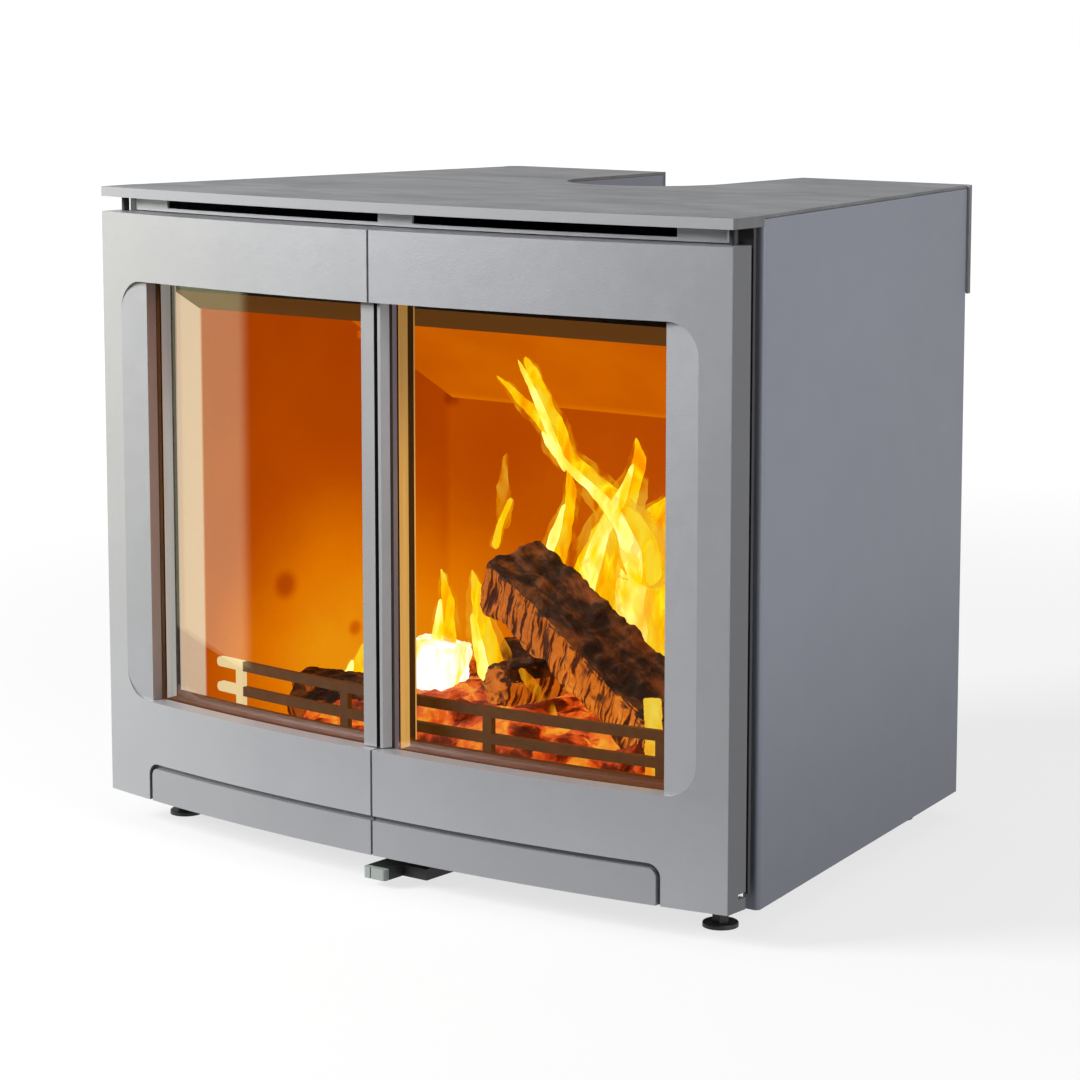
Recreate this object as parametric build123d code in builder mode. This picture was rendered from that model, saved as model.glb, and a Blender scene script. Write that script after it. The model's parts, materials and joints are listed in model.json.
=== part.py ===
from build123d import *
import math
import os

os.makedirs("parts", exist_ok=True)

# Millimetres. X runs across the front, Y towards the rear and Z up from the floor under the feet.
# Depths are counted from the door line, the straight line between the outer front corners of the doors.

# Overall form
overall_width = 600.0
side_narrowing = 68.0
door_bow = 29.0
plate_bow = 20.0
door_side_depth = 22.0
frame_depth = 29.0
casing_front = 38.0
casing_rear = 425.0
hood_projection = 12.0
plate_top = 507.3
plate_sheet = 2.3
lip_height = 7.6
lip_sheet = 2.5
casing_bottom = 19.0
casing_sheet = 1.5
casing_flange = 13.0
casing_bend = 3.5
seat_gap = 0.3
turning_gap = 0.06

# Hood at the rear and the notch for the flue pipe
hood_drop = 83.0
hood_sheet = 2.0
hood_corner = 11.0
hood_overhang = 1.5
plate_inset = 2.0
notch_radius = 69.0
flue_inset = 102.0
recess_sheet = 1.5
notch_floor_drop = 1.0

# Rear panel's air slots and screws
air_slot_rows = (70.0, 90.0)
air_slot_count = 6
air_slot_pitch = 62.0
air_slot_size = 46.0
air_slot_width = 7.0
screw_rows = 4
screw_radius = 3.2
screw_height = 1.8
screw_edge = 6.0

# Doors
door_bottom = 24.0
door_reveal = 19.3
door_gap = 2.0
door_skin = 7.0
door_flange = 5.0
door_shelf = 6.0
door_corner = 0.8
window_margin = 51.7
window_bottom = 103.5
top_rail = 52.5
bevel_spread = 27.2
bevel_depth = 5.0
bevel_corner = 24.0
jamb_depth = 15.0
jamb_wall = 5.0
jamb_width = 12.0

# Lower cover panels
panel_margin = 51.0
panel_top = 54.0
panel_groove = 3.7
panel_thickness = 4.0
panel_corner = 10.0
panel_seat = 0.1

# Glass and what holds it
glass_overlap = 5.5
glass_inner_edge = 4.6
glass_thickness = 4.0
tape_thickness = 2.0
tape_width = 4.0
layer_gap = 0.2
retainer_margin = 1.2
retainer_depth = 12.0
retainer_sheet = 1.5
retainer_flange = 7.0
retainer_inner_edge = 9.0
tab_depth = 6.5
tab_inset = 58.3
tab_spacing = 130.0
tab_half = 6.0
tab_reach = 7.0
boss_half = 5.0
boss_height = 8.0

# Meeting stiles between the two panes
stile_gap = 1.7
stile_setback = 8.5
stile_sheet = 2.5
stile_rear = 34.0
left_stile_edge = 14.0
left_stile_seat = 9.1
right_stile_nose = 4.5
right_stile_seat = 7.6
stile_end_gap = 0.8

# Rope seal between door and frame
rope_half_width = 4.0
rope_round = 1.0
rope_margin = 10.0
rope_bottom = 66.0
rope_drop = 36.0
rope_rib = 6.0
centre_rope = 3.0

# Hinges
hinge_inset = 10.5
hinge_depth = 16.0
pin_radius = 3.0
pin_reach = 16.0
bracket_thickness = 3.0
bracket_nose = 5.2
bracket_arm = 7.0
bracket_arm_shift = 3.0
hinge_block = 5.5
block_front = 5.0
notch_rise = 3.7
notch_front = 13.0
bracket_drop = 4.5

# Front frame, vent strip and firebox mouth
frame_sheet = 3.0
frame_inset = 3.0
frame_bottom = 33.0
frame_gap = 0.6
ear_width = 51.0
vent_gap = 2.0
mouth_margin = 41.0
mouth_bottom = 80.0
mouth_drop = 61.5
mouth_corner = 6.0
strip_setback = 22.0
strip_sheet = 2.0
strip_inset = 16.0
strip_gap = 0.8
slot_inner = 16.5
slot_margin = 38.0
slot_rise = 2.6
slot_height = 10.0

# Firebox steel
steel_wall = 4.0
rear_space = 33.0
roof_rise = 5.5
base_bottom = 33.0
base_sheet = 3.0
hearth_bottom = 46.0
support_width = 8.0
support_inset = 71.0
support_rear = 140.0
rear_support_inset = 35.0
rear_support_setback = 92.0
rear_support_length = 40.0
air_row_depth = 39.0
air_row_pitch = 64.0
air_row_count = 6
air_row_length = 48.0
air_row_width = 6.0
collar_bore = 62.6
collar_wall = 3.0
collar_stop = 4.0
collar_height = 31.0
collar_foot = 3.5
collar_foot_radius = 68.0

# Lining
lining = 28.0
floor_top = 68.0
lining_step = 14.0
splay_depth = 16.0
duct_space = 53.0
ledge_drop = 114.0
baffle_reach = 107.0
baffle_rise = 72.0
baffle_thickness = 18.0
lintel_drop = 15.5
lintel_depth = 28.0
nozzle_radius = 3.0
nozzle_drop = 50.0
nozzle_spacing = 134.0
nozzle_count = 3
duct_inset = 24.6
duct_sheet = 2.0
duct_rise = 20.0
rest_bar = 6.0
rest_length = 14.0

# Hearth lip and log guard
lip_front = 8.5
ledge_top = 88.0
ledge_thickness = 7.5
ledge_inset = 20.0
ledge_round = 2.0
riser_thickness = 5.0
guard_setback = 48.0
guard_thickness = 5.0
guard_left_inset = 21.0
guard_right_inset = 9.0
guard_bar = 7.5
guard_bar_round = 3.2
guard_pitch = 20.0
guard_bars = 3
guard_first = 93.3
guard_left_post_inset = 27.0
guard_right_post_inset = 10.0
guard_inner_inset = 166.0
guard_post = 8.0
guard_peg_radius = 2.4
guard_peg = 6.0

# Air control under the doors
lever_left = -9.5
lever_right = 11.5
shoulder_right = 34.5
lever_front = -28.0
shoulder_front = -7.0
shutter_front = 55.0
shutter_rear = 165.0
lever_bottom = 5.5
lever_top = 14.0
tip_length = 5.0
tip_groove = 1.2
tip_groove_x = -3.0
tip_round = 2.5
shutter_half = 48.0
shutter_thickness = 3.0
inlet_half = 28.0
inlet_front = 90.0
inlet_length = 28.0
box_half = 60.0
box_front = 60.0
box_rear = 150.0
box_sheet = 2.0
runner_sheet = 2.0
runner_lip = 6.0
runner_gap = 0.1

# Door catch
catch_half = 18.0
catch_front = 19.0
catch_drop = 29.0
catch_height = 17.0
catch_slot = 8.0
catch_sheet = 2.0
tongue_thickness = 6.4
tongue_start = 5.0
tongue_end = 14.0
tongue_rear = 25.0
tongue_round = 1.5

# Levelling feet
foot_front_inset = 37.5
foot_front_depth = 46.0
foot_rear_inset = 32.0
foot_rear_setback = 40.0
foot_radius = 13.0
foot_disc = 3.5
foot_edge = 1.2
foot_collar_radius = 6.5
foot_collar_top = 9.5
stem_radius = 4.6
stem_top = 45.7
nut_height = 8.0
nut_radius = 9.8

# Worked-out values
door_half = overall_width / 2
hood_rear = casing_rear + hood_projection
flue_depth = casing_rear - flue_inset
foot_rear_depth = casing_rear - foot_rear_setback
door_line = -(hood_rear - door_bow) / 2
door_arc = (door_half**2 + door_bow**2) / (2 * door_bow)
plate_arc = (door_half**2 + plate_bow**2) / (2 * plate_bow)
taper = side_narrowing / (casing_rear - casing_front)
slope = math.sqrt(1 + taper**2)
window_half = door_half - window_margin
bevel_half = window_half + bevel_spread
panel_half = door_half - panel_margin
tab_centres = (window_half - tab_inset - tab_spacing, window_half - tab_inset)
frame_half = door_half - frame_inset
frame_ear = frame_half - ear_width
strip_half = frame_half - strip_inset
slot_outer = strip_half - slot_margin
mouth_half = frame_half - mouth_margin
rope_side = mouth_half + rope_margin
lining_front_half = mouth_half - lining_step
ledge_half = mouth_half - ledge_inset
support_half = mouth_half - support_inset
rear_support_half = support_half - rear_support_inset
guard_left = guard_left_inset - ledge_half
guard_right = ledge_half - guard_right_inset
guard_left_post = guard_left + guard_left_post_inset
guard_right_post = guard_right - guard_right_post_inset
guard_inner_post = ledge_half - guard_inner_inset
foot_front_x = door_half - foot_front_inset
foot_rear_x = door_half - side_narrowing - foot_rear_inset
sheet_bottom = plate_top - plate_sheet
lip_bottom = plate_top - lip_height
casing_top = sheet_bottom - seat_gap
upper_bracket = sheet_bottom - bracket_drop
frame_top = sheet_bottom - frame_gap
door_top = plate_top - door_reveal
window_top = door_top - top_rail
rope_top = door_top - rope_drop
frame_vent = door_top - vent_gap
strip_bottom = door_top + strip_gap
slot_bottom = strip_bottom + slot_rise
catch_bottom = door_top - catch_drop
mouth_top = door_top - mouth_drop
lintel_bottom = mouth_top - lintel_drop
firebox_roof = mouth_top + roof_rise
ledge_height = firebox_roof - ledge_drop
nozzle_height = ledge_height - nozzle_drop
base_top = base_bottom + base_sheet
roof_top = firebox_roof + steel_wall
rear_notch_floor = roof_top - notch_floor_drop
collar_top = roof_top + collar_height
frame_back = frame_depth + frame_sheet
splay_rear = frame_back + splay_depth
firebox_rear = casing_rear - rear_space
wall_rear = firebox_rear - steel_wall
back_rear = wall_rear - duct_space
back_face = back_rear - lining
baffle_front = back_face - baffle_reach
rear_support_front = firebox_rear - rear_support_setback
hinge_x = door_half - hinge_inset
beyond = overall_width


def at_depth(depth):
    """Y of a point this far behind the door line."""
    return door_line + depth


def door_y(x, setback):
    """Y of the doors' bowed front at x, moved back by setback."""
    return at_depth(door_arc - door_bow) - math.sqrt((door_arc - setback) ** 2 - x**2)


def plate_y(x, setback):
    """Y of the top plate's bowed front edge at x, moved back by setback."""
    return at_depth(plate_arc - plate_bow) - math.sqrt((plate_arc - setback) ** 2 - x**2)


def casing_half(depth):
    """Half the casing's outside width at a depth."""
    return door_half - taper * (depth - casing_front)


def lining_half(depth):
    """Half the firebox's inside width at a depth."""
    return lining_front_half - taper * (depth - splay_rear)


def steel_half(depth):
    """Half the width inside the firebox's steel walls at a depth."""
    return lining_half(depth) + (lining + seat_gap) * slope


def band(front, x0, x1, near, far):
    """A strip in plan that follows a bowed front, between two setbacks."""
    middle = (x0 + x1) / 2
    with BuildLine() as edge:
        ThreePointArc((x0, front(x0, near)), (middle, front(middle, near)), (x1, front(x1, near)))
        Line((x1, front(x1, near)), (x1, front(x1, far)))
        ThreePointArc((x1, front(x1, far)), (middle, front(middle, far)), (x0, front(x0, far)))
        Line((x0, front(x0, far)), (x0, front(x0, near)))
    make_face(edge.edges())


def bowed_block(front, x0, x1, near, depth):
    """A shape in plan from a bowed front back to a straight line at a depth."""
    middle = (x0 + x1) / 2
    with BuildLine() as edge:
        ThreePointArc((x0, front(x0, near)), (middle, front(middle, near)), (x1, front(x1, near)))
        Polyline((x1, front(x1, near)), (x1, at_depth(depth)), (x0, at_depth(depth)), (x0, front(x0, near)))
    make_face(edge.edges())


def outline(points, side=1):
    """A straight-edged shape in plan from (x, depth) points, mirrored when side is -1."""
    Polygon(*[(side * x, at_depth(depth)) for x, depth in points], align=None)


def tapered(half, depth0, depth1, margin=0.0):
    """A shape in plan that narrows towards the rear, its half width given by a function of depth."""
    near, far = half(depth0) - margin, half(depth1) - margin
    outline([(-near, depth0), (-far, depth1), (far, depth1), (near, depth0)])


def box(x0, x1, depth0, depth1, z0, z1, mode=Mode.ADD):
    """A box between two corners, given as x, depth and z."""
    with Locations(((x0 + x1) / 2, at_depth((depth0 + depth1) / 2), (z0 + z1) / 2)):
        Box(abs(x1 - x0), abs(depth1 - depth0), abs(z1 - z0), mode=mode)


def upright(x0, x1, z0, z1, corner=0.0, mode=Mode.ADD):
    """A rectangle seen from the front, given as x and z, with round corners if asked."""
    with Locations(((x0 + x1) / 2, (z0 + z1) / 2)):
        if corner:
            RectangleRounded(x1 - x0, z1 - z0, corner, mode=mode)
        else:
            Rectangle(x1 - x0, z1 - z0, mode=mode)


def span(side, x0, x1):
    """The two ends of a stretch of x on one side, lowest first."""
    return sorted((side * x0, side * x1))


def save(part, label):
    """Name a finished piece and write it to its file."""
    part.label = label
    export_step(part, f"parts/{label}.step")


# Top plate: a thin sheet with a front lip, a rear hood and the notch for the flue pipe
plate_front_half = door_half - plate_inset
plate_rear_half = casing_half(casing_rear) - plate_inset
hood_half = casing_half(casing_rear) + hood_overhang
hood_bottom = sheet_bottom - hood_drop
hood_front = casing_rear + seat_gap
lip_rear = casing_front - seat_gap
inner_half = hood_half - hood_sheet
inner_rear = hood_rear - hood_sheet
with BuildPart() as top_plate:
    with BuildSketch(Plane.XY.offset(sheet_bottom)) as sheet:
        outline(
            [
                (-plate_front_half, 0),
                (-plate_front_half, casing_front),
                (-plate_rear_half, hood_front),
                (-hood_half, hood_front),
                (-hood_half, hood_rear),
                (hood_half, hood_rear),
                (hood_half, hood_front),
                (plate_rear_half, hood_front),
                (plate_front_half, casing_front),
                (plate_front_half, 0),
            ]
        )
        fillet(sheet.vertices().group_by(Axis.Y)[-1], hood_corner)
        bowed_block(plate_y, -door_half, door_half, 0, lip_rear)
    extrude(amount=plate_sheet)
    with BuildSketch(Plane.XY.offset(lip_bottom)):
        band(plate_y, -door_half, door_half, 0, lip_sheet)
        for side in (-1, 1):
            bowed_block(plate_y, *span(side, door_half - lip_sheet, door_half), 0, lip_rear)
    extrude(amount=sheet_bottom - lip_bottom)
    with BuildSketch(Plane.XY.offset(hood_bottom)) as hood:
        outline(
            [(-hood_half, hood_front), (-hood_half, hood_rear), (hood_half, hood_rear), (hood_half, hood_front)]
        )
        fillet(hood.vertices().group_by(Axis.Y)[-1], hood_corner)
    extrude(amount=hood_drop)
    with BuildSketch(Plane.XY.offset(hood_bottom)) as hollow:
        outline(
            [
                (-inner_half, casing_front),
                (-inner_half, inner_rear),
                (inner_half, inner_rear),
                (inner_half, casing_front),
            ]
        )
        fillet(hollow.vertices().group_by(Axis.Y)[-1], hood_corner - hood_sheet)
    extrude(amount=hood_drop, mode=Mode.SUBTRACT)
    with BuildSketch(Plane.XY.offset(plate_top)):
        with Locations((0, at_depth(flue_depth))):
            Circle(notch_radius)
        outline(
            [
                (-notch_radius, flue_depth),
                (-notch_radius, beyond),
                (notch_radius, beyond),
                (notch_radius, flue_depth),
            ]
        )
    extrude(amount=-2 * hood_drop, mode=Mode.SUBTRACT)
save(top_plate.part, "top_plate")

# Side panels: tapered sheets with folded edges at the front, rear and top
panel_rear = casing_rear - casing_sheet
fold_front = casing_front + casing_sheet
fold_rear = panel_rear - casing_sheet
for side, name in ((-1, "left"), (1, "right")):
    with BuildPart() as side_panel:
        with BuildSketch(Plane.XY.offset(casing_bottom)) as panel_plan:
            outline(
                [
                    (casing_half(casing_front) - casing_flange, casing_front),
                    (casing_half(casing_front), casing_front),
                    (casing_half(panel_rear), panel_rear),
                    (casing_half(panel_rear) - casing_flange, panel_rear),
                    (casing_half(panel_rear) - casing_flange, fold_rear),
                    (casing_half(fold_rear) - casing_sheet * slope, fold_rear),
                    (casing_half(fold_front) - casing_sheet * slope, fold_front),
                    (casing_half(casing_front) - casing_flange, fold_front),
                ],
                side,
            )
            fillet(panel_plan.vertices().sort_by(Axis.X)[-1 if side > 0 else 0], casing_bend)
        extrude(amount=casing_top - casing_bottom)
        with BuildSketch(Plane.XY.offset(casing_top - casing_sheet)):
            outline(
                [
                    (casing_half(fold_front) - casing_sheet, fold_front),
                    (casing_half(fold_rear) - casing_sheet, fold_rear),
                    (casing_half(fold_rear) - casing_flange, fold_rear),
                    (casing_half(fold_front) - casing_flange, fold_front),
                ],
                side,
            )
        extrude(amount=casing_sheet)
    save(side_panel.part, f"{name}_side_panel")

# Rear panel with its notch for the flue pipe and two rows of air slots
rear_half = casing_half(casing_rear) - casing_sheet
recess_outer = notch_radius + seat_gap + recess_sheet
clear_half = recess_outer + seat_gap
with BuildPart() as rear_panel:
    box(-rear_half, rear_half, panel_rear, casing_rear, casing_bottom, casing_top)
    box(-clear_half, clear_half, 0, hood_rear, rear_notch_floor, plate_top, Mode.SUBTRACT)
    with BuildSketch(Plane.XZ.offset(-at_depth(casing_rear))):
        for row in air_slot_rows:
            with Locations((0, row)):
                with GridLocations(air_slot_pitch, 1, air_slot_count, 1):
                    SlotOverall(air_slot_size, air_slot_width)
    extrude(amount=2 * casing_sheet, both=True, mode=Mode.SUBTRACT)
save(rear_panel.part, "rear_panel")

# Screw heads that hold the rear panel to the side panels
with BuildPart() as casing_screws:
    with BuildSketch(Plane.XZ.offset(-at_depth(casing_rear))):
        for side in (-1, 1):
            with Locations((side * (rear_half - screw_edge), (casing_bottom + hood_bottom) / 2)):
                with GridLocations(1, (hood_bottom - casing_bottom) / screw_rows, 1, screw_rows):
                    Circle(screw_radius)
    extrude(amount=-screw_height)
save(casing_screws.part, "casing_screws")

# Wall of the recess round the flue collar, from the firebox roof up to the top plate
recess_inner = notch_radius + seat_gap
recess_rear = inner_rear - seat_gap
with BuildPart() as flue_recess:
    with BuildSketch(Plane.XY.offset(roof_top + seat_gap)):
        with Locations((0, at_depth(flue_depth))):
            Circle(recess_outer)
        outline(
            [
                (-recess_outer, flue_depth),
                (-recess_outer, recess_rear),
                (recess_outer, recess_rear),
                (recess_outer, flue_depth),
            ]
        )
        with Locations((0, at_depth(flue_depth))):
            Circle(recess_inner, mode=Mode.SUBTRACT)
        with Locations((0, at_depth((flue_depth + beyond) / 2))):
            Rectangle(2 * recess_inner, beyond - flue_depth, mode=Mode.SUBTRACT)
    extrude(amount=casing_top - roof_top - seat_gap)
save(flue_recess.part, "flue_recess")

# Front frame: the flat plate that the doors close against
with BuildPart() as front_frame:
    with BuildSketch(Plane.XZ.offset(-at_depth(frame_depth))):
        upright(-frame_half, frame_half, frame_bottom, frame_top)
        upright(-mouth_half, mouth_half, mouth_bottom, mouth_top, mouth_corner, Mode.SUBTRACT)
        upright(-frame_ear, frame_ear, frame_vent, beyond, mode=Mode.SUBTRACT)
    extrude(amount=-frame_sheet)
save(front_frame.part, "front_frame")

# Vent strip under the front lip, with the two long slots that let warm air out
strip_back = strip_setback + strip_sheet
slot_top = slot_bottom + slot_height
with BuildPart() as vent_strip:
    with BuildSketch(Plane.XY.offset(strip_bottom)):
        band(plate_y, -strip_half, strip_half, strip_setback, strip_back)
        for side in (-1, 1):
            fold = span(side, strip_half - strip_sheet, strip_half)
            bowed_block(plate_y, *fold, strip_setback, frame_depth - seat_gap)
    extrude(amount=sheet_bottom - seat_gap - strip_bottom)
    for side in (-1, 1):
        slot = span(side, slot_inner, slot_outer)
        box(*slot, -plate_bow, frame_depth, slot_bottom, slot_top, Mode.SUBTRACT)
save(vent_strip.part, "vent_strip")

# Base plate with the air inlet and the holes for the feet
feet = {
    "front_left": (-foot_front_x, foot_front_depth),
    "front_right": (foot_front_x, foot_front_depth),
    "rear_left": (-foot_rear_x, foot_rear_depth),
    "rear_right": (foot_rear_x, foot_rear_depth),
}
foot_places = [(x, at_depth(depth)) for x, depth in feet.values()]
base_front = fold_front + seat_gap
tongue_half = casing_half(casing_front) - casing_flange - seat_gap
with BuildPart() as base_plate:
    with BuildSketch(Plane.XY.offset(base_bottom)):
        tapered(casing_half, base_front, fold_rear - seat_gap, casing_sheet * slope + seat_gap)
        outline(
            [
                (-tongue_half, frame_back),
                (-tongue_half, base_front),
                (tongue_half, base_front),
                (tongue_half, frame_back),
            ]
        )
        with Locations(*foot_places):
            Circle(stem_radius + seat_gap, mode=Mode.SUBTRACT)
        with Locations((0, at_depth(inlet_front + inlet_length / 2))):
            Rectangle(2 * inlet_half, inlet_length, mode=Mode.SUBTRACT)
    extrude(amount=base_sheet)
save(base_plate.part, "base_plate")

# Nuts under the base plate for the feet to turn in
with BuildPart() as foot_nuts:
    with BuildSketch(Plane.XY.offset(base_bottom)):
        with Locations(*foot_places):
            RegularPolygon(nut_radius, 6)
            Circle(stem_radius + turning_gap, mode=Mode.SUBTRACT)
    extrude(amount=-nut_height)
save(foot_nuts.part, "foot_nuts")

# Bars that hold the firebox off the base plate and close in the air space
front_bars = support_half - support_width
rear_bars = rear_support_half - support_width
rear_bar_end = rear_support_front + rear_support_length
cross_bar = front_bars - seat_gap
with BuildPart() as hearth_supports:
    for side in (-1, 1):
        box(*span(side, front_bars, support_half), frame_back, support_rear, base_top, hearth_bottom)
        rear_bar = span(side, rear_bars, rear_support_half)
        box(*rear_bar, rear_support_front, rear_bar_end, base_top, hearth_bottom)
    box(-cross_bar, cross_bar, support_rear - support_width, support_rear, base_top, hearth_bottom)
save(hearth_supports.part, "hearth_supports")

# Steel walls of the firebox
for side, name in ((-1, "left"), (1, "right")):
    with BuildPart() as firebox_wall:
        with BuildSketch(Plane.XY.offset(hearth_bottom)):
            outline(
                [
                    (steel_half(frame_back), frame_back),
                    (steel_half(frame_back) + steel_wall * slope, frame_back),
                    (steel_half(wall_rear) + steel_wall * slope, wall_rear),
                    (steel_half(wall_rear), wall_rear),
                ],
                side,
            )
        extrude(amount=firebox_roof - hearth_bottom)
    save(firebox_wall.part, f"firebox_{name}_wall")

with BuildPart() as firebox_back:
    back_half = steel_half(wall_rear) + steel_wall * slope
    box(-back_half, back_half, wall_rear, firebox_rear, hearth_bottom, firebox_roof)
save(firebox_back.part, "firebox_back_wall")

with BuildPart() as firebox_cover:
    with BuildSketch(Plane.XY.offset(firebox_roof)):
        tapered(steel_half, frame_back, firebox_rear, -steel_wall * slope)
        with Locations((0, at_depth(flue_depth))):
            Circle(collar_bore - collar_stop, mode=Mode.SUBTRACT)
    extrude(amount=steel_wall)
save(firebox_cover.part, "firebox_roof")

# Hearth plate over the air space, with a row of slots that feed air up behind the glass
with BuildPart() as hearth_plate:
    with BuildSketch(Plane.XY.offset(hearth_bottom)):
        tapered(steel_half, frame_back, wall_rear)
        with Locations((0, at_depth(air_row_depth))):
            with GridLocations(air_row_pitch, 1, air_row_count, 1):
                SlotOverall(air_row_length, air_row_width, mode=Mode.SUBTRACT)
    extrude(amount=steel_wall)
save(hearth_plate.part, "hearth_plate")

# Flue collar: the round socket for the chimney pipe
with BuildPart() as flue_collar:
    with BuildSketch(Plane.XY.offset(roof_top)):
        with Locations((0, at_depth(flue_depth))):
            Circle(collar_foot_radius)
            Circle(collar_bore, mode=Mode.SUBTRACT)
    extrude(amount=collar_foot)
    with BuildSketch(Plane.XY.offset(roof_top)):
        with Locations((0, at_depth(flue_depth))):
            Circle(collar_bore + collar_wall)
            Circle(collar_bore, mode=Mode.SUBTRACT)
    extrude(amount=collar_top - roof_top)
save(flue_collar.part, "flue_collar")

# Lining boards
lining_bottom = floor_top + seat_gap
lining_roof = firebox_roof - seat_gap
floor_bottom = hearth_bottom + steel_wall
with BuildPart() as floor_lining:
    with BuildSketch(Plane.XY.offset(floor_bottom)):
        tapered(steel_half, splay_rear + seat_gap, wall_rear - seat_gap, seat_gap)
    extrude(amount=floor_top - floor_bottom)
save(floor_lining.part, "floor_lining")

side_front = frame_back + seat_gap
side_rear = back_face - seat_gap
for side, name in ((-1, "left"), (1, "right")):
    with BuildPart() as side_lining:
        with BuildSketch(Plane.XY.offset(lining_bottom)):
            outline(
                [
                    (mouth_half, side_front),
                    (steel_half(side_front) - seat_gap, side_front),
                    (steel_half(side_rear) - seat_gap, side_rear),
                    (lining_half(side_rear), side_rear),
                    (lining_half(splay_rear), splay_rear),
                ],
                side,
            )
        extrude(amount=lining_roof - lining_bottom)
    save(side_lining.part, f"{name}_lining")

with BuildPart() as back_lining:
    with BuildSketch(Plane.XY.offset(lining_bottom)):
        tapered(steel_half, back_face, back_rear, seat_gap)
    extrude(amount=ledge_height - lining_bottom)
    with BuildSketch(Plane.XZ.offset(-at_depth(back_face))):
        with Locations((0, nozzle_height)):
            with GridLocations(nozzle_spacing, 1, nozzle_count, 1):
                Circle(nozzle_radius)
    extrude(amount=-lining, mode=Mode.SUBTRACT)
save(back_lining.part, "back_lining")

# Duct behind the back board that feeds its air holes
duct_front = back_rear + seat_gap
duct_rear = wall_rear - seat_gap
duct_top = nozzle_height + duct_rise
duct_half = lining_half(back_face) - duct_inset
duct_inner = duct_half - duct_sheet
with BuildPart() as air_duct:
    box(-duct_half, duct_half, duct_front, duct_rear, lining_bottom, duct_top)
    box(-duct_inner, duct_inner, 0, duct_rear - duct_sheet, 0, duct_top - duct_sheet, Mode.SUBTRACT)
save(air_duct.part, "air_duct")

lintel_rear = splay_rear + lintel_depth
with BuildPart() as lintel_lining:
    with BuildSketch(Plane.XY.offset(lintel_bottom)):
        outline(
            [
                (-mouth_half + seat_gap, side_front),
                (-lining_half(splay_rear) + seat_gap, splay_rear),
                (-lining_half(lintel_rear) + seat_gap, lintel_rear),
                (lining_half(lintel_rear) - seat_gap, lintel_rear),
                (lining_half(splay_rear) - seat_gap, splay_rear),
                (mouth_half - seat_gap, side_front),
            ]
        )
    extrude(amount=lining_roof - lintel_bottom)
    with BuildSketch(Plane.YZ):
        Polygon(
            (at_depth(splay_rear), lintel_bottom),
            (at_depth(side_front), mouth_top),
            (at_depth(0), mouth_top),
            (at_depth(0), lintel_bottom),
            align=None,
        )
    extrude(amount=door_half, both=True, mode=Mode.SUBTRACT)
save(lintel_lining.part, "lintel_lining")

# Baffle: a sloping board that rests on the back board and leans towards the doors
baffle_run = back_face - baffle_front
baffle_length = math.hypot(baffle_run, baffle_rise)
rise_offset = baffle_thickness * baffle_run / baffle_length
run_offset = baffle_thickness * baffle_rise / baffle_length
baffle_foot = ledge_height + seat_gap
baffle_rear = back_rear - seat_gap
with BuildPart() as baffle:
    with BuildSketch(Plane.YZ):
        Polygon(
            (at_depth(back_face), baffle_foot),
            (at_depth(baffle_front), baffle_foot + baffle_rise),
            (at_depth(baffle_front + run_offset), baffle_foot + baffle_rise + rise_offset),
            (at_depth(baffle_rear), baffle_foot + baffle_thickness),
            (at_depth(baffle_rear), baffle_foot),
            align=None,
        )
    extrude(amount=door_half, both=True)
    with BuildSketch(Plane.XY.offset(ledge_height)):
        tapered(lining_half, baffle_front, baffle_rear, seat_gap)
    extrude(amount=firebox_roof - ledge_height, mode=Mode.INTERSECT)
save(baffle.part, "baffle")

# Two pegs in the side boards that carry the baffle's front edge
rest_rear = baffle_front + 2 * rest_bar
rest_front = rest_rear - rest_bar
rest_top = baffle_foot + baffle_rise * (back_face - rest_rear) / baffle_run - seat_gap
with BuildPart() as baffle_rests:
    for side in (-1, 1):
        rest_end = lining_half(rest_rear) - rest_length
        with BuildSketch(Plane.XY.offset(rest_top - rest_bar)):
            outline(
                [
                    (rest_end, rest_front),
                    (rest_end, rest_rear),
                    (lining_half(rest_rear), rest_rear),
                    (lining_half(rest_front), rest_front),
                ],
                side,
            )
        extrude(amount=rest_bar)
save(baffle_rests.part, "baffle_rests")

# Hearth lip: the iron ledge in the firebox mouth that the log guard stands on
guard_back = guard_setback + guard_thickness
peg_setback = guard_setback + guard_thickness / 2
peg_places = [(x, door_y(x, peg_setback)) for x in (-guard_inner_post, guard_inner_post)]
ledge_bottom = ledge_top - ledge_thickness
with BuildPart() as hearth_lip:
    box(-ledge_half, ledge_half, lip_front, splay_rear, ledge_bottom, ledge_top)
    box(-ledge_half, ledge_half, splay_rear - riser_thickness, splay_rear, floor_bottom, ledge_top)
    fillet(hearth_lip.edges().filter_by(Axis.X).group_by(Axis.Y)[0].sort_by(Axis.Z)[-1], ledge_round)
    with BuildSketch(Plane.XY.offset(ledge_top)):
        with Locations(*peg_places):
            Circle(guard_peg_radius + turning_gap)
    extrude(amount=-ledge_thickness, mode=Mode.SUBTRACT)
save(hearth_lip.part, "hearth_lip")

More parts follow.
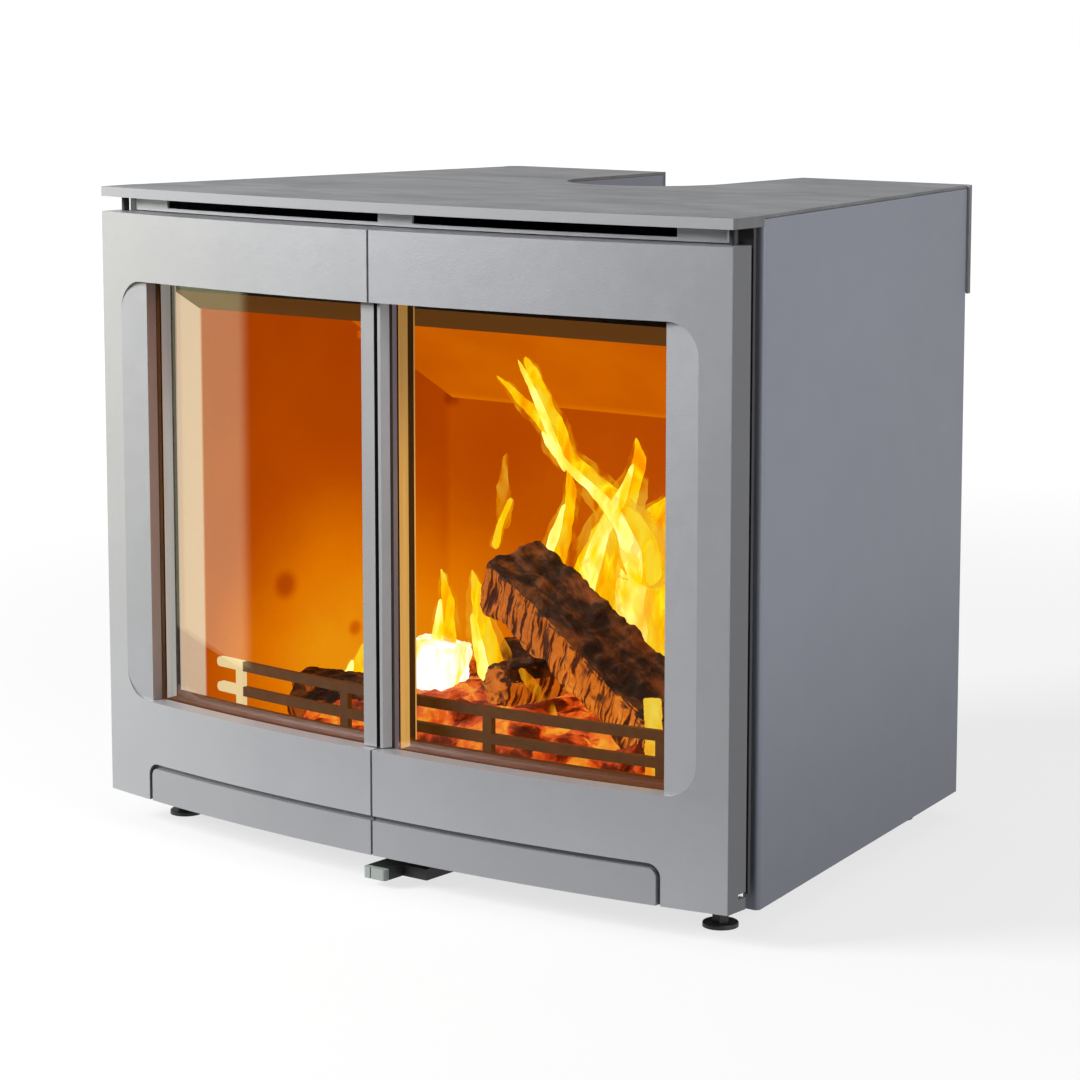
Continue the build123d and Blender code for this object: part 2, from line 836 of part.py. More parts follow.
# Log guard: bowed bars on posts, with two pegs that drop into the hearth lip
guard_foot = ledge_top + seat_gap
guard_last = guard_first + (guard_bars - 1) * guard_pitch
guard_top = guard_last + guard_bar / 2
with BuildPart() as log_guard:
    with BuildSketch(Plane.XY.offset(guard_foot)):
        band(door_y, guard_left - guard_post, guard_right + guard_post, guard_setback, guard_back)
    extrude(amount=guard_top - guard_foot)
    with BuildSketch(Plane.XZ):
        with Locations(((guard_left + guard_right) / 2, (guard_first + guard_last) / 2)):
            with GridLocations(1, guard_pitch, 1, guard_bars):
                RectangleRounded(guard_right - guard_left, guard_bar, guard_bar_round)
        for post in (guard_left_post, -guard_inner_post, guard_inner_post, guard_right_post):
            upright(post - guard_post / 2, post + guard_post / 2, guard_foot, guard_last)
    extrude(amount=beyond, both=True, mode=Mode.INTERSECT)
    with BuildSketch(Plane.XY.offset(guard_foot)):
        with Locations(*peg_places):
            Circle(guard_peg_radius)
    extrude(amount=-guard_peg)
save(log_guard.part, "log_guard")

# Doors. Each has a casting, cover panel, stile, pane, tape, retainer, screws, rope and catch tongue.
pane_outer = window_half + glass_overlap
pane_bottom = window_bottom - glass_overlap
pane_top = window_top + glass_overlap
tape_front = jamb_depth + layer_gap
tape_back = tape_front + tape_thickness
glass_front = tape_back + layer_gap
glass_back = glass_front + glass_thickness
retainer_front = glass_back + layer_gap
retainer_back = retainer_front + retainer_depth
flange_front = retainer_back - retainer_sheet
web_outer = window_half + retainer_margin + retainer_sheet
web_bottom = window_bottom - retainer_margin - retainer_sheet
web_top = window_top + retainer_margin + retainer_sheet
boss_rear = retainer_front + tab_depth
tab_front = boss_rear + layer_gap
tab_back = tab_front + retainer_sheet
block_foot = base_top + seat_gap
block_head = door_top - pin_reach
notch_foot = block_foot - notch_rise
web_inner = stile_gap + stile_sheet
rib_inner = web_inner + seat_gap
rib_outer = rope_side + rope_rib
cover_half = panel_half - panel_groove
cover_top = panel_top - panel_groove
stile_foot = rope_bottom - rope_rib
stile_head = rope_top + rope_rib
flange_step = stile_setback + stile_sheet
stile_seat = jamb_depth + layer_gap / 2
stile_sections = {
    -1: (
        (stile_gap, stile_setback),
        (left_stile_edge, stile_setback),
        (left_stile_edge, flange_step),
        (left_stile_seat, flange_step),
        (left_stile_seat, stile_seat),
        (stile_gap, stile_seat),
    ),
    1: (
        (stile_gap, stile_setback),
        (right_stile_nose, stile_setback),
        (right_stile_seat, stile_seat),
        (stile_gap, stile_seat),
    ),
}
web_section = (
    (stile_gap, stile_seat),
    (stile_gap, stile_rear),
    (web_inner, stile_rear),
    (web_inner, stile_seat),
)
rope_front = door_side_depth + seat_gap
rope_back = frame_depth - seat_gap
rope_edge = rope_side + rope_half_width
rope_start = rope_edge - 2 * rope_half_width
tongue_low = catch_bottom + (catch_height - tongue_thickness) / 2
arm_right = hinge_x - bracket_arm_shift + bracket_arm / 2
arm_left = arm_right - bracket_arm
for side, name in ((-1, "left"), (1, "right")):
    leaf = span(side, door_gap / 2, door_half)
    with BuildPart() as bevel:
        with BuildSketch(Plane.XY.offset(panel_top)):
            Polygon(
                (side * bevel_half, door_y(bevel_half, 0)),
                (side * window_half, door_y(window_half, bevel_depth)),
                (side * window_half, door_y(0, 0)),
                (side * bevel_half, door_y(0, 0)),
                align=None,
            )
        extrude(amount=window_top - panel_top)
        with BuildSketch(Plane.XZ):
            upright(-bevel_half, bevel_half, window_bottom, window_top, bevel_corner)
        extrude(amount=beyond, both=True, mode=Mode.INTERSECT)
    with BuildPart() as panel_recess:
        with BuildSketch(Plane.XY):
            band(door_y, *span(side, 0, bevel_half), -door_bow, panel_thickness + panel_seat)
        extrude(amount=window_bottom)
        with BuildSketch(Plane.XZ):
            upright(-panel_half, panel_half, -panel_top, panel_top, panel_corner)
        extrude(amount=beyond, both=True, mode=Mode.INTERSECT)
    with BuildPart() as casting:
        with BuildSketch(Plane.XY.offset(door_bottom)):
            band(door_y, *leaf, 0, door_skin)
        extrude(amount=door_top - door_bottom)
        for shelf in (door_bottom, door_top - door_shelf):
            with BuildSketch(Plane.XY.offset(shelf)):
                bowed_block(door_y, *leaf, bevel_depth, door_side_depth)
            extrude(amount=door_shelf)
        with BuildSketch(Plane.XY.offset(door_bottom)):
            bowed_block(door_y, *span(side, door_half - door_flange, door_half), 0, door_side_depth)
        extrude(amount=door_top - door_bottom)
        with BuildSketch(Plane.XY.offset(window_bottom - jamb_wall)):
            band(door_y, *span(side, door_gap, window_half + jamb_width), bevel_depth, jamb_depth)
        extrude(amount=window_top - window_bottom + 2 * jamb_wall)
        for rib in (rope_bottom, rope_top):
            with BuildSketch(Plane.XY.offset(rib - rope_rib)):
                bowed_block(door_y, *span(side, rib_inner, rib_outer), bevel_depth, door_side_depth)
            extrude(amount=2 * rope_rib)
        with BuildSketch(Plane.XY.offset(rope_bottom)):
            bowed_block(door_y, *span(side, rope_side - rope_rib, rib_outer), bevel_depth, door_side_depth)
        extrude(amount=rope_top - rope_bottom)
        for low, high in ((block_foot, block_foot + pin_reach), (block_head - door_shelf, door_top)):
            box(*span(side, hinge_x - hinge_block, door_half), block_front, door_side_depth, low, high)
        for centre in tab_centres:
            boss = span(side, centre - boss_half, centre + boss_half)
            for low in (pane_bottom - seat_gap - boss_height, pane_top + seat_gap):
                with BuildSketch(Plane.XY.offset(low)):
                    band(door_y, *boss, bevel_depth, boss_rear)
                extrude(amount=boss_height)
        with BuildSketch(Plane.XZ):
            upright(*span(side, 0, window_half), window_bottom, window_top)
        extrude(amount=beyond, both=True, mode=Mode.SUBTRACT)
        add(bevel.part, mode=Mode.SUBTRACT)
        add(panel_recess.part, mode=Mode.SUBTRACT)
        for mouth, reach in ((block_foot, pin_reach), (door_top, -pin_reach)):
            with BuildSketch(Plane.XY.offset(mouth)):
                with Locations((side * hinge_x, at_depth(hinge_depth))):
                    Circle(pin_radius + turning_gap)
            extrude(amount=reach, mode=Mode.SUBTRACT)
        outer_stretch = span(side, door_half - door_flange, beyond)
        box(*outer_stretch, notch_front, beyond, notch_foot, block_foot, Mode.SUBTRACT)
        outer_edges = casting.edges().filter_by(Axis.Z).group_by(Axis.X)[-1 if side > 0 else 0]
        fillet(outer_edges.group_by(Axis.Y)[0], door_corner)
    save(casting.part, f"{name}_door_casting")

    with BuildPart() as cover_panel:
        with BuildSketch(Plane.XY.offset(door_bottom)):
            band(door_y, *span(side, door_gap / 2, panel_half), 0, panel_thickness)
        extrude(amount=panel_top - door_bottom)
        with BuildSketch(Plane.XZ):
            upright(-cover_half, cover_half, -cover_top, cover_top, panel_corner - panel_groove)
        extrude(amount=beyond, both=True, mode=Mode.INTERSECT)
    save(cover_panel.part, f"{name}_cover_panel")

    with BuildPart() as stile:
        with BuildSketch(Plane.XY.offset(window_bottom + stile_end_gap)):
            Polygon(*[(side * x, door_y(0, setback)) for x, setback in stile_sections[side]], align=None)
        extrude(amount=window_top - window_bottom - 2 * stile_end_gap)
        with BuildSketch(Plane.XY.offset(stile_foot)):
            Polygon(*[(side * x, door_y(0, setback)) for x, setback in web_section], align=None)
        extrude(amount=stile_head - stile_foot)
    save(stile.part, f"{name}_stile")

    pane_stretch = span(side, glass_inner_edge, pane_outer)
    with BuildPart() as pane:
        with BuildSketch(Plane.XY.offset(pane_bottom)):
            band(door_y, *pane_stretch, glass_front, glass_back)
        extrude(amount=pane_top - pane_bottom)
    save(pane.part, f"{name}_pane")

    with BuildPart() as tape:
        with BuildSketch(Plane.XY.offset(pane_bottom)):
            band(door_y, *pane_stretch, tape_front, tape_back)
        extrude(amount=pane_top - pane_bottom)
        with BuildSketch(Plane.XZ):
            inside = span(side, glass_inner_edge + tape_width, pane_outer - tape_width)
            upright(*inside, pane_bottom + tape_width, pane_top - tape_width)
        extrude(amount=beyond, both=True, mode=Mode.SUBTRACT)
    save(tape.part, f"{name}_glass_tape")

    web = span(side, retainer_inner_edge, web_outer)
    with BuildPart() as flanges:
        with BuildSketch(Plane.XY.offset(web_bottom)):
            band(door_y, *web, flange_front, retainer_back)
        extrude(amount=web_top - web_bottom)
        with BuildSketch(Plane.XZ):
            wide = retainer_flange
            upright(web[0] + wide, web[1] - wide, web_bottom + wide, web_top - wide)
        extrude(amount=beyond, both=True, mode=Mode.SUBTRACT)
    with BuildPart() as retainer:
        with BuildSketch(Plane.XY.offset(web_bottom)):
            band(door_y, *web, retainer_front, retainer_back)
        extrude(amount=web_top - web_bottom)
        with BuildSketch(Plane.XZ):
            thin = retainer_sheet
            upright(web[0] + thin, web[1] - thin, web_bottom + thin, web_top - thin)
        extrude(amount=beyond, both=True, mode=Mode.SUBTRACT)
        add(flanges.part)
        for centre in tab_centres:
            tab = span(side, centre - tab_half, centre + tab_half)
            for low, high in ((web_bottom - tab_reach, web_bottom), (web_top, web_top + tab_reach)):
                with BuildSketch(Plane.XY.offset(low)):
                    band(door_y, *tab, tab_front, tab_back)
                extrude(amount=high - low)
    save(retainer.part, f"{name}_glass_retainer")

    with BuildPart() as retainer_screws:
        for centre in tab_centres:
            seat_radius = door_arc - tab_back - layer_gap
            lean = side * centre / seat_radius
            inward = (-lean, math.sqrt(1 - lean**2), 0)
            for height in (web_bottom - tab_reach / 2, web_top + tab_reach / 2):
                seat = (side * centre, door_y(centre, door_arc - seat_radius), height)
                with BuildSketch(Plane(origin=seat, z_dir=inward)):
                    Circle(screw_radius)
                extrude(amount=screw_height)
    save(retainer_screws.part, f"{name}_retainer_screws")

    with BuildPart() as rope:
        with BuildSketch(Plane.XZ.offset(-at_depth(rope_front))):
            for line in (rope_bottom, rope_top):
                ends = span(side, rib_inner, rope_edge)
                upright(*ends, line - rope_half_width, line + rope_half_width)
            upright(*span(side, rope_start, rope_edge), rope_bottom, rope_top)
        extrude(amount=rope_front - rope_back)
        fillet(rope.edges().group_by(Axis.Y)[-1], rope_round)
    save(rope.part, f"{name}_door_rope")

    with BuildPart() as catch_tongue:
        with BuildSketch(Plane.XY.offset(tongue_low)):
            bowed_block(door_y, *span(side, tongue_start, tongue_end), door_skin, tongue_rear)
        extrude(amount=tongue_thickness)
        fillet(catch_tongue.edges().filter_by(Axis.X).group_by(Axis.Y)[-1], tongue_round)
    save(catch_tongue.part, f"{name}_catch_tongue")

    # Hinge brackets, each with the pin that the door turns on
    for level, low, pin_low, pin_high in (
        ("lower", base_bottom, base_bottom, base_top + pin_reach - seat_gap),
        ("upper", upper_bracket, block_head + seat_gap, upper_bracket + bracket_thickness),
    ):
        with BuildPart() as hinge:
            with BuildSketch(Plane.XY.offset(low)):
                with Locations((side * hinge_x, at_depth(hinge_depth))):
                    Circle(bracket_nose)
                outline(
                    [
                        (arm_left, hinge_depth),
                        (arm_left, frame_depth),
                        (arm_right, frame_depth),
                        (arm_right, hinge_depth),
                    ],
                    side,
                )
            extrude(amount=bracket_thickness)
            with BuildSketch(Plane.XY.offset(pin_low)):
                with Locations((side * hinge_x, at_depth(hinge_depth))):
                    Circle(pin_radius)
            extrude(amount=pin_high - pin_low)
        save(hinge.part, f"{name}_{level}_hinge")

# Strip of rope that closes the gap between the two stiles, carried by the right one
with BuildPart() as middle_rope:
    with BuildSketch(Plane.XY.offset(rope_bottom)):
        with Locations((seat_gap / 2, door_y(0, stile_rear - centre_rope))):
            Rectangle(2 * stile_gap - seat_gap, centre_rope)
    extrude(amount=rope_top - rope_bottom)
save(middle_rope.part, "middle_rope")

# Catch on the front frame that takes both doors' tongues
catch_middle = catch_bottom + catch_height / 2
catch_mouth = (catch_middle - catch_slot / 2, catch_middle + catch_slot / 2)
with BuildPart() as door_catch:
    box(-catch_half, catch_half, catch_front, frame_depth, catch_bottom, catch_bottom + catch_height)
    box(-catch_half, catch_half, 0, frame_depth - catch_sheet, *catch_mouth, Mode.SUBTRACT)
save(door_catch.part, "door_catch")

# Air lever: a flat bar under the doors with a slotted shutter plate at its rear
bar_front = lever_front + tip_length
shutter_bottom = lever_top - shutter_thickness
inlet_rear = inlet_front + inlet_length
with BuildPart() as air_lever:
    with BuildSketch(Plane.XY.offset(lever_bottom)):
        outline(
            [
                (lever_left, bar_front),
                (lever_left, shutter_front),
                (shoulder_right, shutter_front),
                (shoulder_right, shoulder_front),
                (lever_right, shoulder_front),
                (lever_right, bar_front),
            ]
        )
    extrude(amount=lever_top - lever_bottom)
    box(-shutter_half, shutter_half, shutter_front, shutter_rear, shutter_bottom, lever_top)
    box(-inlet_half, inlet_half, inlet_front, inlet_rear, 0, base_bottom, Mode.SUBTRACT)
save(air_lever.part, "air_lever")

with BuildPart() as lever_tip:
    box(lever_left, lever_right, lever_front, bar_front, lever_bottom, lever_top)
    fillet(lever_tip.edges().filter_by(Axis.Z).group_by(Axis.Y)[0], tip_round)
    groove = (tip_groove_x, tip_groove_x + tip_groove)
    box(*groove, lever_front - door_bow, lever_front + tip_groove, 0, base_bottom, Mode.SUBTRACT)
save(lever_tip.part, "lever_tip")

# Air box under the base plate, with a slot over the shutter
box_bottom = lever_top + runner_gap
box_inner = box_half - box_sheet
inner_front = box_front + box_sheet
inner_back = box_rear - box_sheet
with BuildPart() as air_box:
    box(-box_half, box_half, box_front, box_rear, box_bottom, base_bottom)
    box(-box_inner, box_inner, inner_front, inner_back, box_bottom + box_sheet, base_top, Mode.SUBTRACT)
    box(-inlet_half, inlet_half, inlet_front, inlet_rear, 0, base_bottom, Mode.SUBTRACT)
save(air_box.part, "air_box")

# Runners under the air box that carry the shutter
lip_top = shutter_bottom - runner_gap
lip_foot = lip_top - runner_sheet
runner_wall = shutter_half + runner_gap
with BuildPart() as shutter_runners:
    for side in (-1, 1):
        wall_stretch = span(side, runner_wall, runner_wall + runner_sheet)
        box(*wall_stretch, box_front, box_rear, lip_foot, box_bottom)
        box(*span(side, runner_wall - runner_lip, runner_wall), box_front, box_rear, lip_foot, lip_top)
save(shutter_runners.part, "shutter_runners")

# Levelling feet
for name, (x, depth) in feet.items():
    with BuildPart() as foot:
        with BuildSketch(Plane.XY):
            with Locations((x, at_depth(depth))):
                Circle(foot_radius)
        extrude(amount=foot_disc)
        fillet(foot.edges().group_by(Axis.Z)[-1], foot_edge)
        with BuildSketch(Plane.XY.offset(foot_disc)):
            with Locations((x, at_depth(depth))):
                RegularPolygon(foot_collar_radius, 6)
        extrude(amount=foot_collar_top - foot_disc)
        with BuildSketch(Plane.XY.offset(foot_disc)):
            with Locations((x, at_depth(depth))):
                Circle(stem_radius)
        extrude(amount=stem_top - foot_disc)
    save(foot.part, f"{name}_foot")
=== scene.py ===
import json
import math
import random

import bpy
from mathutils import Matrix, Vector


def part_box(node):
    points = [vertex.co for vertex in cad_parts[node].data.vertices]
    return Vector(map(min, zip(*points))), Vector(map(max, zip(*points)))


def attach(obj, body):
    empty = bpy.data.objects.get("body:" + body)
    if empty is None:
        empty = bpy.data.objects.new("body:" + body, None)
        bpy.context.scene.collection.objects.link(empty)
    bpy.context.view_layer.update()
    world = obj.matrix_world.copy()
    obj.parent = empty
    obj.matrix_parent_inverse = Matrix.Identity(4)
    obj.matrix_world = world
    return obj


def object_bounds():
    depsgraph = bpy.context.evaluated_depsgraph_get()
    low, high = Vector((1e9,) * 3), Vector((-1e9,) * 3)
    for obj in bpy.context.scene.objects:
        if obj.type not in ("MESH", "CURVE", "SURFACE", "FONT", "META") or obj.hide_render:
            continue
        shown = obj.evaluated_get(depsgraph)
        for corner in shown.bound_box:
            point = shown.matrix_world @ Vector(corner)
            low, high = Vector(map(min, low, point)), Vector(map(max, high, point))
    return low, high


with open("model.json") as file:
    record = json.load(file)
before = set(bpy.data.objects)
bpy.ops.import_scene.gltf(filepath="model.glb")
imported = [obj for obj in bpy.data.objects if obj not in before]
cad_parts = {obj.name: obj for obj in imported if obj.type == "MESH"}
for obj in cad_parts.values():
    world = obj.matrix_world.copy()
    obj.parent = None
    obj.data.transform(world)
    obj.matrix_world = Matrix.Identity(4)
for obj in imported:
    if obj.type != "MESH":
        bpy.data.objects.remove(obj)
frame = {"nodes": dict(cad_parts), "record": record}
cad_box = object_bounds()
nodes = frame["nodes"]

# The place and the lens of the camera, fitted to the photograph
camera_place = Vector((1.5397, -2.0139, 0.6591))
camera_yaw = math.radians(37.806)
camera_pitch = math.radians(-8.09)
image_side = 1080
focal_pixels = 3257.2
sensor = 36.0
camera_shift = -0.08

# The firebox, read from the frame
hearth_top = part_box("floor_lining")[1].z
back_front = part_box("back_lining")[0].y
side_low, side_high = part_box("left_lining")
wall_front = side_low.y
roof_height = side_high.z
splay = 0.0165

# The left end of the log guard, which gets a painted highlight, and the foot of the glass
# retainers, with painted shade and a painted firelight glow
guard_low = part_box("log_guard")[0]
guard_lit_length = 0.0315
retainer_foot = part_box("right_glass_retainer")[0]
foot_strip = 0.012, 0.018

# The bowed front of the doors, and the groove round their cover panels
door_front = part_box("left_cover_panel")[0].y
door_arc = 1.566
cover_top = 0.054
groove_mouth = 0.0006, 0.002
groove_floor = 0.0043, 0.0047
groove_top = cover_top + 0.0005, cover_top + 0.001

# Where painted shade and painted light change, each between two places
door_ends = 0.22, 0.28
door_gap = -0.001, 0.001
stile_depths = -0.219, -0.214
shaded_heights = 0.0, 0.26
lit_left = -0.19, -0.15
retainer_heights = 0.29, 0.4

# How strongly painted firelight glows on the lining
hot_corner = Vector((-0.212, 0.0, 0.112))
corner_glow = 0.40
corner_reach = 0.03, 0.2
back_glow = 0.09
low_glow, high_glow = 0.46, 0.37

# Where the fire burns
ember_height = 0.042
ember_half_width = 0.2
ember_front = wall_front + 0.035
ember_rear = back_front - 0.02

# How the logs, the flames and the coals are shaped
log_growth = 0.94, 1.06
log_drift = 0.05
log_worn_edge = 0.12
log_bumps, log_bump_size = 0.28, 0.45
flame_flatness = 0.4
flame_bumps, flame_bump_growth, flame_bump_size = 0.002, 0.008, 0.024
outer_swell, core_swell, heart_swell = 1.35, 0.85, 0.4
heart_ahead = 0.010
coal_sizes = 0.007, 0.016
coal_stretch = (0.8, 1.7), (0.7, 1.3), (0.5, 0.9)
coal_turns = (-0.4, 0.4), (-0.4, 0.4), (0, 3)

black = (0.0, 0.0, 0.0)
white = (1.0, 1.0, 1.0)

random.seed(7)


def scaled(numbers, share):
    """A colour or a point with each of its numbers times a share."""
    return tuple(number * share for number in numbers)


class Value:
    """A number or colour on a node socket. Each operator adds one Math node."""

    def __init__(self, finish, socket):
        self.finish = finish
        self.socket = socket

    def __add__(self, other):
        return self.finish.math("ADD", self, other)

    def __sub__(self, other):
        return self.finish.math("SUBTRACT", self, other)

    def __rsub__(self, other):
        return self.finish.math("SUBTRACT", other, self)

    def __mul__(self, other):
        return self.finish.math("MULTIPLY", self, other)

    def __pow__(self, other):
        return self.finish.math("POWER", self, other)

    def __abs__(self):
        return self.finish.math("ABSOLUTE", self)

    __radd__ = __add__
    __rmul__ = __mul__


class Finish:
    """A material, built on the principled surface that every new material starts with."""

    def __init__(self, name, **fixed):
        self.material = bpy.data.materials.new(name)
        self.material.use_nodes = True
        self.tree = self.material.node_tree
        self.surface = self.tree.nodes["Principled BSDF"]
        self.out = self.tree.nodes["Material Output"]
        self.place = self.node("TexCoord", output="Object")
        for word, value in fixed.items():
            self.surface.inputs[word.title()].default_value = value

    def node(self, kind, settings=None, inputs=None, output=0):
        """Adds a node with its settings and inputs, and returns one of its outputs."""
        made = self.tree.nodes.new("ShaderNode" + kind)
        for word, value in (settings or {}).items():
            if word == "stops":
                elements = made.color_ramp.elements
                while len(elements) < len(value):
                    elements.new(0.5)
                for element, (position, colour) in zip(elements, value):
                    element.position = position
                    element.color = (*colour, 1.0)
            else:
                setattr(made, word, value)
        for socket, value in (inputs or {}).items():
            self.give(made.inputs[socket], value)
        return Value(self, made.outputs[output])

    def give(self, socket, value):
        """Links a value to a socket, or sets a plain number or colour on it."""
        if isinstance(value, Value):
            self.tree.links.new(value.socket, socket)
        elif isinstance(value, tuple) and len(value) == 3 and socket.type == "RGBA":
            socket.default_value = (*value, 1.0)
        else:
            socket.default_value = value

    def feed(self, socket, value):
        """Gives a value to one of the surface's own sockets."""
        self.give(self.surface.inputs[socket], value)

    def glow(self, colour, strength=1.0):
        """Light that the surface gives off."""
        self.feed("Emission Color", colour)
        self.feed("Emission Strength", strength)

    def math(self, operation, *values):
        return self.node("Math", {"operation": operation}, dict(enumerate(values)))

    def clamp(self, value):
        return self.node("Clamp", inputs={"Value": value})

    def smooth(self, value, low, high, start=0.0, end=1.0):
        """Runs smoothly from start to end while value runs from low to high."""
        inputs = {"Value": value, 1: low, 2: high, 3: start, 4: end}
        return self.node("MapRange", {"interpolation_type": "SMOOTHSTEP"}, inputs)

    def fade(self, value, low, high, end=0.0):
        """Runs smoothly down from one to end while value runs from low to high."""
        return self.smooth(value, low, high, 1.0, end)

    def axes(self, place=None):
        """The three coordinates of a place as numbers."""
        split = self.node("SeparateXYZ", inputs={0: place or self.place}).socket.node
        return [Value(self, socket) for socket in split.outputs]

    def stretched(self, scale, turn=(0, 0, 0), place=None):
        """Object coordinates, turned, and squeezed or stretched along each axis."""
        inputs = {"Vector": place or self.place, "Scale": scale, "Rotation": turn}
        return self.node("Mapping", inputs=inputs)

    def noise(self, scale, detail=3.0, roughness=0.55, distortion=0.0, place=None):
        inputs = {
            "Vector": place or self.place,
            "Scale": scale,
            "Detail": detail,
            "Roughness": roughness,
            "Distortion": distortion,
        }
        return self.node("TexNoise", inputs=inputs)

    def lumps(self, scale):
        """How far each place is from the nearest of many scattered points."""
        inputs = {"Vector": self.place, "Scale": scale}
        return self.node("TexVoronoi", {"feature": "SMOOTH_F1"}, inputs, "Distance")

    def ramp(self, value, *stops):
        return self.node("ValToRGB", {"stops": stops}, {0: value})

    def mix(self, factor, first, second):
        """A colour between two colours."""
        return self.node("Mix", {"data_type": "RGBA"}, {0: factor, 6: first, 7: second}, 2)

    def bump(self, height, distance, strength, under=None):
        inputs = {"Height": height, "Distance": distance, "Strength": strength}
        if under:
            inputs["Normal"] = under
        return self.node("Bump", inputs=inputs)

    def distance_to(self, point):
        """How far each place is from a point."""
        inputs = {0: self.place, 1: tuple(point)}
        return self.node("VectorMath", {"operation": "DISTANCE"}, inputs, "Value")


def turned(finish):
    """How far a face looks across, back and up."""
    return finish.axes(finish.node("TexCoord", output="Normal"))


def shaded_door_ends(finish):
    """One on the vertical ends of the doors at the far left and right, where painted shade darkens
    the door paint.
    """
    return finish.smooth(turned(finish)[0] * finish.axes()[0], *door_ends)


def inner_sides(finish):
    """One on the faces that look to the right, such as the sides of the meeting stiles."""
    return finish.smooth(turned(finish)[0], 0.5, 0.9)


def groove_shade(finish):
    """One in the groove round the lower cover panels, just behind the bowed front, where painted
    shade darkens the door paint.
    """
    across, deep, height = finish.axes()
    behind = deep - (door_front + door_arc) + (door_arc**2 - across * across) ** 0.5
    groove = finish.smooth(behind, *groove_mouth) * finish.fade(behind, *groove_floor)
    return groove * finish.fade(height, *groove_top)


def painted_shade_places(finish):
    """One where the doors get painted shade: at their outer ends and in the groove."""
    return finish.clamp(shaded_door_ends(finish) + groove_shade(finish))


def lit_front_faces(finish):
    """One on a face that looks forward, such as the front edge of the top plate, where painted
    light brightens the paint.
    """
    return finish.smooth(turned(finish)[1] * -1.0, 0.5, 0.8)


def gap_shade(finish):
    """One on the side of the left stile, in the gap between the doors, where painted shade darkens
    it.
    """
    return inner_sides(finish) * finish.fade(finish.axes()[0], *door_gap)


def cast_paint(
    name, dark, light, roughness,
    grain=1.0, metallic=0.25, patches=0.0, level=0.5, shade=None, glow=None,
):
    """Satin metallic paint over fine cast iron: shade darkens some places as painted shade and
    lightens others as painted light, and glow is painted light on right-hand sides.
    """
    finish = Finish(name, metallic=metallic)
    finish.feed("Specular IOR Level", level)
    cloud = finish.noise(14.0, detail=4.0)
    speck = finish.noise(1500.0, detail=2.0)
    patch = finish.noise(1.0, 6.0, 0.65, 0.8, finish.stretched((9.0, 26.0, 9.0)))
    tone = finish.clamp(cloud * 0.75 + speck * 0.5 + (patch - 0.5) * patches - 0.12)
    colour = finish.mix(tone, dark, light)
    # Painted shade where depth is below one, and painted light where it is above one.
    if shade:
        where, depth = shade
        colour = finish.mix(where(finish), colour, scaled(dark, depth))
    finish.feed("Base Color", colour)
    # Painted light glowing on the right-hand sides of the meeting stiles, behind the glass.
    if glow:
        across, deep = finish.axes()[:2]
        facing = inner_sides(finish) * finish.smooth(deep, *stile_depths)
        finish.glow(finish.mix(facing * finish.smooth(across, *door_gap, 0.4), black, glow))
    rough = finish.noise(90.0) * 0.12 + speck * 0.1 + (roughness - 0.11)
    finish.feed("Roughness", finish.clamp(rough))
    wave = finish.bump(finish.noise(45.0, detail=2.0), 0.0006 * grain, 0.35)
    pitting = finish.noise(700.0, detail=4.0, roughness=0.7)
    finish.feed("Normal", finish.bump(pitting, 0.00022 * grain, 0.6, wave))
    return finish.material


def sheet_paint(name, dark, light, roughness):
    """Smooth satin paint on rolled steel sheet, with painted shade darkening it towards the floor.
    """
    finish = Finish(name, metallic=0.15)
    drift = finish.noise(6.0, roughness=0.5)
    grain = finish.noise(1100.0, detail=2.0)
    colour = finish.mix(finish.clamp(drift * 0.8 + grain * 0.35 - 0.08), dark, light)
    # Painted shade: the paint runs darker towards the floor.
    low = finish.fade(finish.axes()[2], *shaded_heights)
    finish.feed("Base Color", finish.mix(low, colour, scaled(dark, 0.74)))
    finish.feed("Roughness", finish.clamp(finish.noise(40.0) * 0.1 + (roughness - 0.05)))
    ripple = finish.bump(finish.noise(9.0, detail=1.0), 0.0012, 0.15)
    finish.feed("Normal", finish.bump(grain, 0.00009, 0.5, ripple))
    return finish.material


def black_paint(name, tone, roughness):
    """Matt heat-resistant black with a little dust."""
    finish = Finish(name)
    dust = finish.smooth(finish.noise(60.0, detail=5.0), 0.5, 0.8)
    dusty = tuple(part * 1.9 + 0.01 for part in tone)
    finish.feed("Base Color", finish.mix(dust, tone, dusty))
    finish.feed("Roughness", finish.clamp(dust * 0.2 + roughness))
    finish.feed("Normal", finish.bump(finish.noise(1300.0, detail=2.0), 0.00008, 0.5))
    return finish.material


def bare_metal(name, tone, roughness):
    """Plated steel, a little stained."""
    finish = Finish(name, metallic=1.0)
    drawn = finish.noise(600.0)
    stain = finish.noise(35.0, detail=4.0)
    finish.feed("Base Color", finish.mix(finish.smooth(stain, 0.35, 0.7), tone, scaled(tone, 0.6)))
    rough = drawn * 0.2 + stain * 0.15 + (roughness - 0.15)
    finish.feed("Roughness", finish.clamp(rough))
    finish.feed("Normal", finish.bump(drawn, 0.00005, 0.6))
    return finish.material


def inside_amount(finish):
    """One inside the firebox and nothing on the outer faces round its mouth."""
    mouth = wall_front + splay
    return finish.smooth(finish.axes()[1], mouth - 0.001, mouth + 0.002)


def glow_amount(finish):
    """How strongly painted firelight glows at a place: most low down and in the corner at the hot
    log.
    """
    deep, height = finish.axes()[1:]
    corner = finish.smooth(finish.distance_to(hot_corner), *corner_reach, corner_glow, 0.0)
    back = finish.smooth(deep, back_front - 0.01, back_front, 0.0, back_glow)
    return finish.smooth(height, hearth_top, roof_height, low_glow, high_glow) + back + corner


